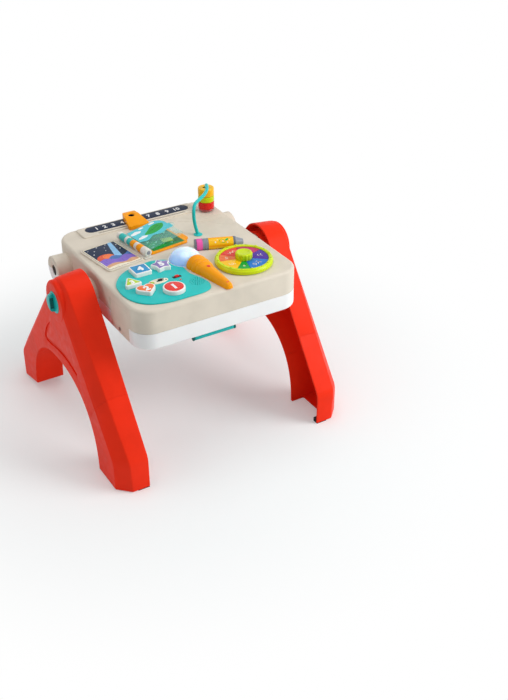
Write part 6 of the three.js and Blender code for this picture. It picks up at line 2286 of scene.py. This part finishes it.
@dataclass
class DrawingSide:
    """The white board under the unit with its raised lines, the paper clip and the teal tray."""

    half_x: float = 148.0
    y: Span = (-186.0, 142.0)
    board_z: Span = (265.4, 267.7)
    groove_x: float = 134.0
    line_x: float = 128.0
    clip_x: Span = (-53.0, 31.0)
    pin: Point = (-197.0, 258.5)
    barrel_r: float = 5.2
    tray_half: float = 105.0
    tray_z: Span = (275.0, 321.0)

    def build(self) -> None:
        """Builds the board, the clip and the tray."""
        low, high = self.board_z
        board = slab(rounded_rect(about(0, self.half_x), self.y, 12), low, high, 0.0, 0.9)
        grooves = [
            block(about(x, 1.5), widened(self.y, -12), (low - OVERRUN, low + 1), 0.9)
            for x in (-self.groove_x, self.groove_x)
        ]
        rim = band(
            rounded_rect(about(0, self.line_x), (self.y[0] + 8, self.y[1] - 10), 8),
            rounded_rect(about(0, self.line_x - 1.6), (self.y[0] + 9.6, self.y[1] - 11.6), 6.4),
            low - OVERRUN, low + 0.6,
        )
        add_piece("drawing_panel", board.cut(*grooves, rim), UNIT, Colours.shell, ("drawing_board",))
        self.clip()
        self.tray()
        dress_node("clip_pin", Colours.steel)
        dress_node("clip_spring", Colours.steel)

    def clip(self) -> None:
        """The sprung clip, its lugs, and caps of darker teal at its ends that are painted shade."""
        x, (y, z) = self.clip_x, self.pin
        middle = sum(x) / 2
        low_bar = rod(Axis.X, (y - 1.5, z - 3.5), 4.4, *x, 0.6)
        barrel = rod(Axis.X, self.pin, self.barrel_r, *x, 0.6).joined(low_bar)
        plate = slab(rounded_rect(x, (y - self.barrel_r, y + 50), 3.4), z - 1.2, z + 1.2, 0.4, 0.5)
        lip = block(widened(x, -3.4), (y + 45.2, y + 48.8), (z, 265.1), 0.5)
        coil = rod(Axis.X, self.pin, 3.8, middle - 8, middle + 8)
        room = block(about(middle, 8), (y - 3, y + 4), (z, z + self.barrel_r + 1)).joined(coil)
        bore = rod(Axis.X, self.pin, 1.9, x[0] - OVERRUN, x[1] + OVERRUN)
        thumb = [
            slab(rounded_rect(widened(x, -14), about(v, 0.7), 0.6), z - 2.0, z - 1.1, 0, 0.4)
            for v in (y + 14, y + 18, y + 22)
        ]
        body = barrel.joined(plate, lip).cut(room, bore)
        add_piece("paper_clip_plate", gathered([body, *thumb]), "clip", Colours.lock, ("paper_clip",))
        lugs, caps = [], []
        for start in (x[0] - 4.3, x[1] + 0.3):
            lugs.append(block((start, start + 4), about(y, 3.4), (z, DECK.bottom + 1), 0.8))
            low_cap = rod(Axis.X, (y - 1.5, z - 3.5), 4.8, start, start + 4, 0.9)
            caps.append(rod(Axis.X, self.pin, self.barrel_r + 0.3, start, start + 4, 0.9).joined(low_cap))
        add_piece("clip_lugs", gathered(lugs), UNIT, Colours.shell)
        # The caps in the darker teal are painted shade at the clip's ends
        add_piece("clip_shaded_caps", gathered(caps), UNIT, Colours.cap)

    def tray(self) -> None:
        """The crayon tray behind the unit: open below here, and upwards when the unit is turned over."""
        half, (low, high) = self.tray_half, self.tray_z
        near, far = DECK.back_y + FIT, DECK.back_y + FIT + 50

        def outline(draw: float) -> Outline:
            """The tray's outline, drawn in by a distance.

            Args:
                draw: The distance.

            Returns:
                The outline.
            """
            return [
                (-half + draw, near + draw), (half - draw, near + draw),
                *arc(half - 24, far - 24, 24 - draw, 0, QUARTER, 12),
                *arc(24 - half, far - 24, 24 - draw, QUARTER, 2 * QUARTER, 12),
            ]

        body = slab(outline(0), low, high, 4.0, 1.0, steps=6).cut(slab(outline(2.5), low - OVERRUN, high - 2.5))
        add_piece("crayon_tray", body, UNIT, Colours.lock, ("tray",))
        add_piece("tray_lip", band(outline(0), outline(1.6), low, low + 3.0), UNIT, Colours.lock)


# The legs and their locks


@dataclass
class LegPair:
    """The two arched legs: each a moulded channel with a hub, a shin, a groove and rubber pads."""

    inner_x: float = 193.0
    depth: float = 61.0
    wall: float = 3.0
    lift: float = 0.8
    foot_y: float = 262.0
    knee_z: float = 68.0
    arch_y: float = 162.0
    arch_z: float = 165.0
    seam: Point = (-188.0, 173.0)
    lean: float = 0.62
    screw: Point = (56.0, 15.0)
    drum_r: float = 43.0
    knob_r: float = 22.0

    @property
    def face_x(self) -> float:
        """The outer face."""
        return self.inner_x + self.depth

    def outline(self, front: float, rear: float, hip: float, hub_y: float, hub_r: float, draw: float) -> Outline:
        """One outline of the leg in its own plane, with its corners rounded, and drawn in.

        Args:
            front, rear: How far its feet reach.
            hip: The height where the limbs start to lean.
            hub_y, hub_r: The hub's centre and radius.
            draw: How far it is drawn in.

        Returns:
            The outline, with the same count of points for any sizes.
        """
        hub = Vector((hub_y, DECK.pivot_z))

        def tangent(y: float, side: int) -> float:
            """Where round the hub the edge from a knee touches it."""
            knee = Vector((y, hip)) - hub
            return math.atan2(knee.y, knee.x) + side * math.acos(hub_r / knee.length)

        arch, steps, power = [], 48, 2 / 2.3
        for i in range(steps + 1):
            angle = 2 * QUARTER * i / steps
            cosine, sine = math.cos(angle), max(0.0, math.sin(angle))
            y = -math.copysign(self.arch_y * abs(cosine) ** power, cosine)
            arch.append((y, self.lift + (self.arch_z - self.lift) * sine**power))
        rear_angle, front_angle = tangent(rear, 1), tangent(front, -1) + TURN
        soft = 2.5 + draw
        return inset([
            *self.corner((self.arch_y, self.lift), (rear, self.lift), (rear, hip), soft),
            *self.corner((rear, self.lift), (rear, hip), (rear - 40, hip + 62), 9 + draw),
            *arc(hub.x, hub.y, hub_r, rear_angle, front_angle, 28),
            *self.corner((front + 40, hip + 62), (front, hip), (front, self.lift), 9 + draw),
            *self.corner((front, hip), (front, self.lift), (-self.arch_y, self.lift), soft),
            *arch[:-1],
        ], draw)

    def corner(self, before: Point, here: Point, after: Point, radius: float) -> Outline:
        """Five points round a corner.

        Args:
            before, here, after: The corner between its two neighbours.
            radius: How far from the corner its rounding starts.

        Returns:
            The points.
        """
        a, b, c = Vector(before), Vector(here), Vector(after)
        start, end = b + (a - b).normalized() * radius, b + (c - b).normalized() * radius
        return [tuple(on_bend(start, b, end, share)) for share in (0, 0.25, 0.5, 0.75, 1)]

    def body(self, wall: float) -> Shape:
        """The leg's outer form, or the hollow in it when drawn in by the wall.

        Args:
            wall: The wall's thickness, or 0 for the outer form.

        Returns:
            The shape.
        """
        inner = (-self.foot_y, self.foot_y, self.knee_z, DECK.pivot_y - 12, 56)
        shoulder = (-self.foot_y, self.foot_y, self.knee_z, DECK.pivot_y - 8, 49)
        face = (-self.foot_y + 25, self.foot_y - 29, 60, DECK.pivot_y + 4, 24)

        def ring(form: tuple[float, ...], draw: float, x_at: Callable[[float], float]) -> Ring:
            """One outline of the leg, set at the depth that x_at gives for each height."""
            return [Vector((x_at(v), u, v)) for u, v in self.outline(*form, draw)]

        def shoulder_x(z: float) -> float:
            """The depth at which the side starts to round into the face."""
            return self.face_x - wall - (25 + (14 - 25) * z / DECK.pivot_z)

        rings = [ring(inner, wall, lambda z: self.inner_x - OVERRUN)]
        if wall == 0:
            rings = [ring(inner, draw, lambda z: self.inner_x) for draw in (1.2, 0)]
        rings.append(ring(shoulder, wall, shoulder_x))
        rings += [ring(face, wall + draw, lambda z: self.face_x - wall) for draw in (0, 4)]
        return loft(softened_rings(rings, 2.6 if wall == 0 else 1.5, 4))

    def seam_ways(self) -> tuple[Vector, Vector]:
        """The directions along the seam and across it."""
        sine, cosine = math.sin(self.lean), math.cos(self.lean)
        return (Vector((sine, -cosine)), Vector((cosine, sine)))

    def seam_spot(self, along: float, across: float) -> Point:
        """A place at a distance along the seam and one across it."""
        down, out = self.seam_ways()
        return tuple(Vector(self.seam) + down * along + out * across)

    def below_seam(self, shift: float) -> Shape:
        """Everything on the shin's side of its seam, moved up by a shift.

        Args:
            shift: The shift.

        Returns:
            The shape.
        """
        along, across = (way * self.foot_y for way in self.seam_ways())
        seam = Vector(self.seam) + self.seam_ways()[1] * shift
        corners = [seam + along, seam - along, seam - along - across, seam + along - across]
        x = widened((self.inner_x, self.face_x), 4)
        half = slab([tuple(p) for p in corners], *x, axis=Axis.X)
        return half.common(block(x, (-self.foot_y - 4, -self.arch_y / 2), (-4, DECK.pivot_z)))

    def groove(self) -> Shape:
        """The boomerang-shaped groove pressed into the outer face.

        Returns:
            The cutter.
        """
        shares = (
            (0.107, 0.777), (0.206, 0.678), (0.237, 0.615), (0.156, 0.615), (0.011, 0.635), (-0.145, 0.638),
            (-0.252, 0.622), (-0.359, 0.599),
        )
        curve = smooth_open([(y * self.foot_y, z * DECK.pivot_z) for y, z in shares], 8)
        left, right = [], []
        for i, here in enumerate(curve):
            ahead = (curve[min(i + 1, len(curve) - 1)] - curve[max(i - 1, 0)]).normalized()
            across = Vector((-ahead.y, ahead.x)) * (5.0 * min(1.0, 0.5 + 0.15 * min(i, len(curve) - 1 - i)))
            left.append(tuple(here + across))
            right.append(tuple(here - across))
        return slab([*right, *reversed(left)], self.face_x - 2.5, self.face_x + 4, axis=Axis.X)

    def hub(self) -> list[Shape]:
        """The drum on the outer face and the socket inside that sits on the unit's boss.

        Returns:
            The two shapes.
        """
        end, face = self.face_x - 15, self.face_x + 0.8
        pivot = DECK.pivot
        drum = [(0, end), (self.drum_r, end), (self.drum_r, face - 3.4), (self.drum_r - 3.4, face), (0, face)]
        drum = turned(softened_profile(drum, 1.4), Axis.X, pivot, 96)
        low = self.inner_x + FIT
        socket = [(29.6, low), (33.6, low), (33.6, end + 1), (29.6, end + 1), (29.6, low)]
        return [drum, turned(softened_profile(socket, 0.5, 2, True), Axis.X, pivot, 96)]

    def ribs(self) -> list[Shape]:
        """Stiffening ribs across the channel, as moulded legs have.

        Returns:
            The ribs.
        """
        shapes = []
        for y, z, angle in ((150, 120, 0.55), (178, 62, 0.2), (-178, 62, -0.2), (104, 176, 0.9)):
            rib = block((self.face_x - 16, self.face_x - 2), about(0, 1.1), about(0, 34))
            turn = Matrix.Translation((0, y, z)) @ Matrix.Rotation(angle + QUARTER, 4, "X")
            shapes.append(rib.moved(turn))
        return shapes

    def shell(self) -> Shape:
        """The whole channel, before it is divided at the seam.

        Returns:
            The shape.
        """
        pivot = DECK.pivot
        end = self.face_x - 15
        outer = self.body(0)
        throat = rod(Axis.X, pivot, 29.6, self.inner_x - OVERRUN, end)
        ribs = [rib.common(outer) for rib in self.ribs()]
        channel = outer.cut(self.body(self.wall)).joined(*ribs).cut(throat)
        recess = rod(Axis.X, pivot, self.knob_r + SLACK, self.face_x - 3, self.face_x + OVERRUN)
        bore = rod(Axis.X, pivot, 10.7, end - OVERRUN, self.face_x + OVERRUN)
        soles = []
        for side in (1, -1):
            y = sorted((side * (self.arch_y + 6), side * (self.foot_y - 3)))
            outline = rounded_rect((self.inner_x - 29, self.inner_x + 29), tuple(y), 4)
            soles.append(slab(outline, -4, 7))
        return channel.joined(*self.hub()).cut(recess, bore, self.groove(), *soles)

    def screw_boss(self) -> Shape:
        """The screw boss behind the seam, with its bore.

        Returns:
            The shape.
        """
        high = self.face_x - 1.5
        rows = [(1.6, high - 15.5), (8, high - 15.5), (8, high), (1.6, high), (1.6, high - 15.5)]
        return turned(softened_profile(rows, 0.8, 3, True), Axis.X, self.seam_spot(*self.screw), 48)

    def tongue(self) -> Shape:
        """The shin's plate that laps behind the frame's wall.

        Returns:
            The shape.
        """
        inside = self.face_x - self.wall
        outline = [self.seam_spot(*corner) for corner in ((41, -15), (71, -15), (71, 26), (41, 26))]
        plate = slab(outline, inside - 3.3, inside - 0.3, axis=Axis.X)
        hole = rod(Axis.X, self.seam_spot(*self.screw), 8.3, inside - 15, inside + 4)
        root = slab(outline, inside - 3, inside + 1.5, axis=Axis.X).common(self.below_seam(-0.6))
        return plate.cut(hole).joined(root)

    def build(self) -> None:
        """Builds both legs."""
        shell = self.shell()
        leg = shell.cut(self.below_seam(0.15)).bevelled(0.55, 2, 40).joined(self.screw_boss())
        shin = shell.common(self.below_seam(-0.15)).bevelled(0.55, 2, 40).joined(self.tongue())
        pads = []
        for side in (-1, 1):
            inside = sorted((side * (self.foot_y - 3.3), side * (self.foot_y - 14)))
            below = sorted((side * (self.foot_y - 0.3), side * (self.foot_y - 14)))
            x = (self.inner_x + FIT, self.inner_x + 24.3)
            pads.append(gathered([
                block(x, tuple(inside), (0.0, 9), 0.8), slab(rounded_rect(x, tuple(below), 0.8), 0.0, 0.5, 0.15),
            ]))
        for side in Side:
            body = f"{side.value}_leg"
            add_piece(f"{body}_arch", side.sided(leg), body, Colours.legs, (f"{body}_frame",), smooth=24)
            add_piece(f"{body}_lower", side.sided(shin), body, Colours.legs, (f"{body}_shin",), smooth=24)
            for end, pad in zip(("front", "rear"), pads):
                node = f"{side.value}_foot_pad_{end}"
                add_piece(f"{node}_rubber", side.sided(pad), body, Colours.pads, (node,))
            dress_node(f"{side.value}_lock_spring", Colours.steel)
            HubLock(self.face_x, self.knob_r).build(side)


@dataclass
class HubLock:
    """The sprung teal knob at a leg's hub, with a ridged half dome to grip."""

    leg_face: float
    radius: float
    pin_r: float = 10.4
    pin_start: float = 197.0
    flange_x: Span = (215.7, 218.2)
    grip_r: float = 18.6
    grip_edge: float = 6.4

    def build(self, side: Side) -> None:
        """Builds one knob.

        Args:
            side: The table's side that it is on.
        """
        pivot = DECK.pivot
        floor = self.leg_face - 2.7
        face = floor + 4.5
        disc = [(0, floor), (self.radius, floor), (self.radius, face - 0.6), (self.radius - 1, face), (0, face)]
        disc = turned(softened_profile(disc, 0.6), Axis.X, pivot, 96)
        pin = rod(Axis.X, pivot, self.pin_r, self.pin_start, floor + 1, 0.8)
        flange = rod(Axis.X, pivot, 15, *self.flange_x, 0.4)
        stem = disc.joined(pin, flange)
        body = f"{side.value}_lock"
        add_piece(f"{body}_disc", side.sided(stem), body, Colours.lock, (f"{body}_knob",))
        levels = [(0.0, face - 0.4), *[(draw, face + 9 - drop) for draw, drop in edge_levels(self.grip_edge, 10)]]
        rings = [[Vector((x, u, v)) for u, v in circle(*pivot, self.grip_r - draw, 96)] for draw, x in levels]
        front = pivot[0] - 2.0
        keep = block((face - 2, face + 12), (front, pivot[0] + 30), about(pivot[1], 30))
        recess = block((face + 0.8, face + 7.6), (front - OVERRUN, front + 1.6), about(pivot[1], 11.8))
        grip = loft(rings).common(keep).bevelled(0.9, 3, 40).cut(recess)
        add_piece(f"{body}_grip", side.sided(grip), body, Colours.lock, smooth=40)
        ridges = [
            block((face + 1.0, face + 7.4), (front - 0.5, front + 1.0), about(pivot[1] + z, 0.9), 0.4)
            for z in (-10, -6, -2, 2, 6, 10)
        ]
        # The pad and its ridges, in the darker teal, are painted shade in the grip's recess
        pad = block((face + 1.0, face + 7.4), (front + 0.6, front + 1.5), about(pivot[1], 11.6))
        add_piece(f"{body}_pad", side.sided(gathered([pad, *ridges])), body, Colours.cap)


# What is inside


class InnerWorks:
    """The parts behind the battery door, which keep the frame's shapes."""

    def build(self) -> None:
        """Dresses the box and the cells."""
        dress_node("battery_box", Colours.dark, 0.3)
        for number in (1, 2, 3):
            dress_node(f"battery_{number}", Colours.sleeve, 0.3)


# The room that it is looked at in


@dataclass
class Studio:
    """A white floor, soft lamps and the camera."""

    eye: tuple[float, float, float] = (-0.8166, -1.6618, 1.2688)
    yaw: float = 31.45
    pitch: float = 32.28
    lens: float = 52.75
    fill: float = 0.36
    key: float = 54.0
    floor_shade: str = "#F6FBFB"

    def build(self) -> None:
        """Sets up the room."""
        scene = bpy.context.scene
        scene.view_settings.view_transform = "Standard"
        self.world(scene)
        self.floor()
        self.lamp("key_lamp", (1.95, -1.75, 1.6), 1.8, self.key)
        self.lamp("side_lamp", (-1.9, 0.5, 1.5), 1.4, self.key * 0.1)
        self.lamp("sky_lamp", (0.0, 0.1, 2.9), 2.2, self.key * 0.4)
        self.camera(scene)

    def camera(self, scene: bpy.types.Scene) -> None:
        """Puts the camera where the portrait was taken from.

        Args:
            scene: The scene.
        """
        yaw, pitch = math.radians(self.yaw), math.radians(self.pitch)
        ahead = Vector((math.sin(yaw) * math.cos(pitch), math.cos(yaw) * math.cos(pitch), -math.sin(pitch)))
        data = bpy.data.cameras.new("portrait")
        data.lens = self.lens
        data.sensor_width = 36
        data.clip_end = 50
        camera = bpy.data.objects.new("portrait", data)
        camera.location = self.eye
        camera.rotation_euler = ahead.to_track_quat("-Z", "Y").to_euler()
        scene.collection.objects.link(camera)
        scene.camera = camera

    def seen(self, tree: Tree) -> Socket:
        """A value that is 1 for rays that look, reflect or pass through, and 0 for those that light.

        Args:
            tree: The tree that uses it.

        Returns:
            The value's socket.
        """
        rays = add_node(tree, "ShaderNodeLightPath").outputs
        value = rays["Is Camera Ray"]
        for kind in ("Is Glossy Ray", "Is Transmission Ray"):
            value = add_node(tree, "ShaderNodeMath", None, {0: value, 1: rays[kind]}, operation="MAXIMUM").outputs[0]
        return value

    def world(self, scene: bpy.types.Scene) -> None:
        """White where it is looked at, and an even soft light for everything else.

        Args:
            scene: The scene.
        """
        world = bpy.data.worlds.new("white_room")
        world.use_nodes = True
        tree = world.node_tree
        tree.nodes.clear()
        white = add_node(tree, "ShaderNodeBackground", {"Color": srgb("#FFFFFF"), "Strength": 1.0})
        soft = add_node(tree, "ShaderNodeBackground", {"Color": srgb("#FDFEFF"), "Strength": self.fill})
        mix = add_node(tree, "ShaderNodeMixShader", None, {0: self.seen(tree), 1: soft.outputs[0], 2: white.outputs[0]})
        add_node(tree, "ShaderNodeOutputWorld", None, {"Surface": mix.outputs[0]})
        scene.world = world

    def floor(self) -> None:
        """A pale floor that keeps the shadow near the table and fades to white further out."""
        mesh = bpy.data.meshes.new("floor")
        mesh.from_pydata([(-9, -9, 0), (9, -9, 0), (9, 9, 0), (-9, 9, 0)], [], [(0, 1, 2, 3)])
        floor = bpy.data.objects.new("floor", mesh)
        bpy.context.scene.collection.objects.link(floor)
        material = bpy.data.materials.new("studio_floor")
        material.use_nodes = True
        tree = material.node_tree
        tree.nodes.clear()
        place = add_node(tree, "ShaderNodeTexCoord").outputs["Object"]
        away = add_node(tree, "ShaderNodeVectorMath", None, {0: place}, operation="LENGTH").outputs["Value"]
        fade = add_node(
            tree, "ShaderNodeMapRange", {"From Min": 0.30, "From Max": 0.80, "To Min": 0.22}, {"Value": away},
            interpolation_type="SMOOTHSTEP",
        )
        both = add_node(
            tree, "ShaderNodeMath", None, {0: fade.outputs["Result"], 1: self.seen(tree)}, operation="MULTIPLY"
        )
        paint = add_node(tree, "ShaderNodeBsdfDiffuse", {"Color": srgb(self.floor_shade)})
        glow = add_node(tree, "ShaderNodeEmission", {"Color": srgb("#FFFFFF"), "Strength": 1.0})
        mix = add_node(tree, "ShaderNodeMixShader", None, {0: both.outputs[0], 1: paint.outputs[0], 2: glow.outputs[0]})
        add_node(tree, "ShaderNodeOutputMaterial", None, {"Surface": mix.outputs[0]})
        mesh.materials.append(material)

    def lamp(self, name: str, place: tuple[float, float, float], size: float, power: float) -> None:
        """Adds a large soft lamp that faces the table.

        Args:
            name: Its name.
            place: Where it hangs, in metres.
            size: Its width in metres.
            power: Its power in watts.
        """
        data = bpy.data.lights.new(name, "AREA")
        data.shape = "DISK"
        data.size = size
        data.energy = power
        lamp = bpy.data.objects.new(name, data)
        lamp.location = place
        target = Vector((0, 0, 0.25)) - Vector(place)
        lamp.rotation_euler = target.to_track_quat("-Z", "Y").to_euler()
        bpy.context.scene.collection.objects.link(lamp)


def main() -> None:
    """Builds the table piece by piece, and logs each part and the face count of each piece."""
    logging.basicConfig(level=logging.INFO, format="%(name)s %(message)s")
    light, plate, pencil, wheel, run = DomeLight(), ControlPlate(), PencilRoller(), SpinWheel(), BeadRun()
    track = NumberTrack()
    Studio().build()
    PlayUnit().build([*plate.holes(), light.hole(), pencil.well(), wheel.hole(), *run.holes(), track.slot()])
    for part in (track, PictureBook(), light, plate, pencil, wheel, run, DrawingSide(), LegPair(), InnerWorks()):
        LOG.info("building %s", type(part).__name__)
        part.build()


if __name__ == "__main__":
    main()
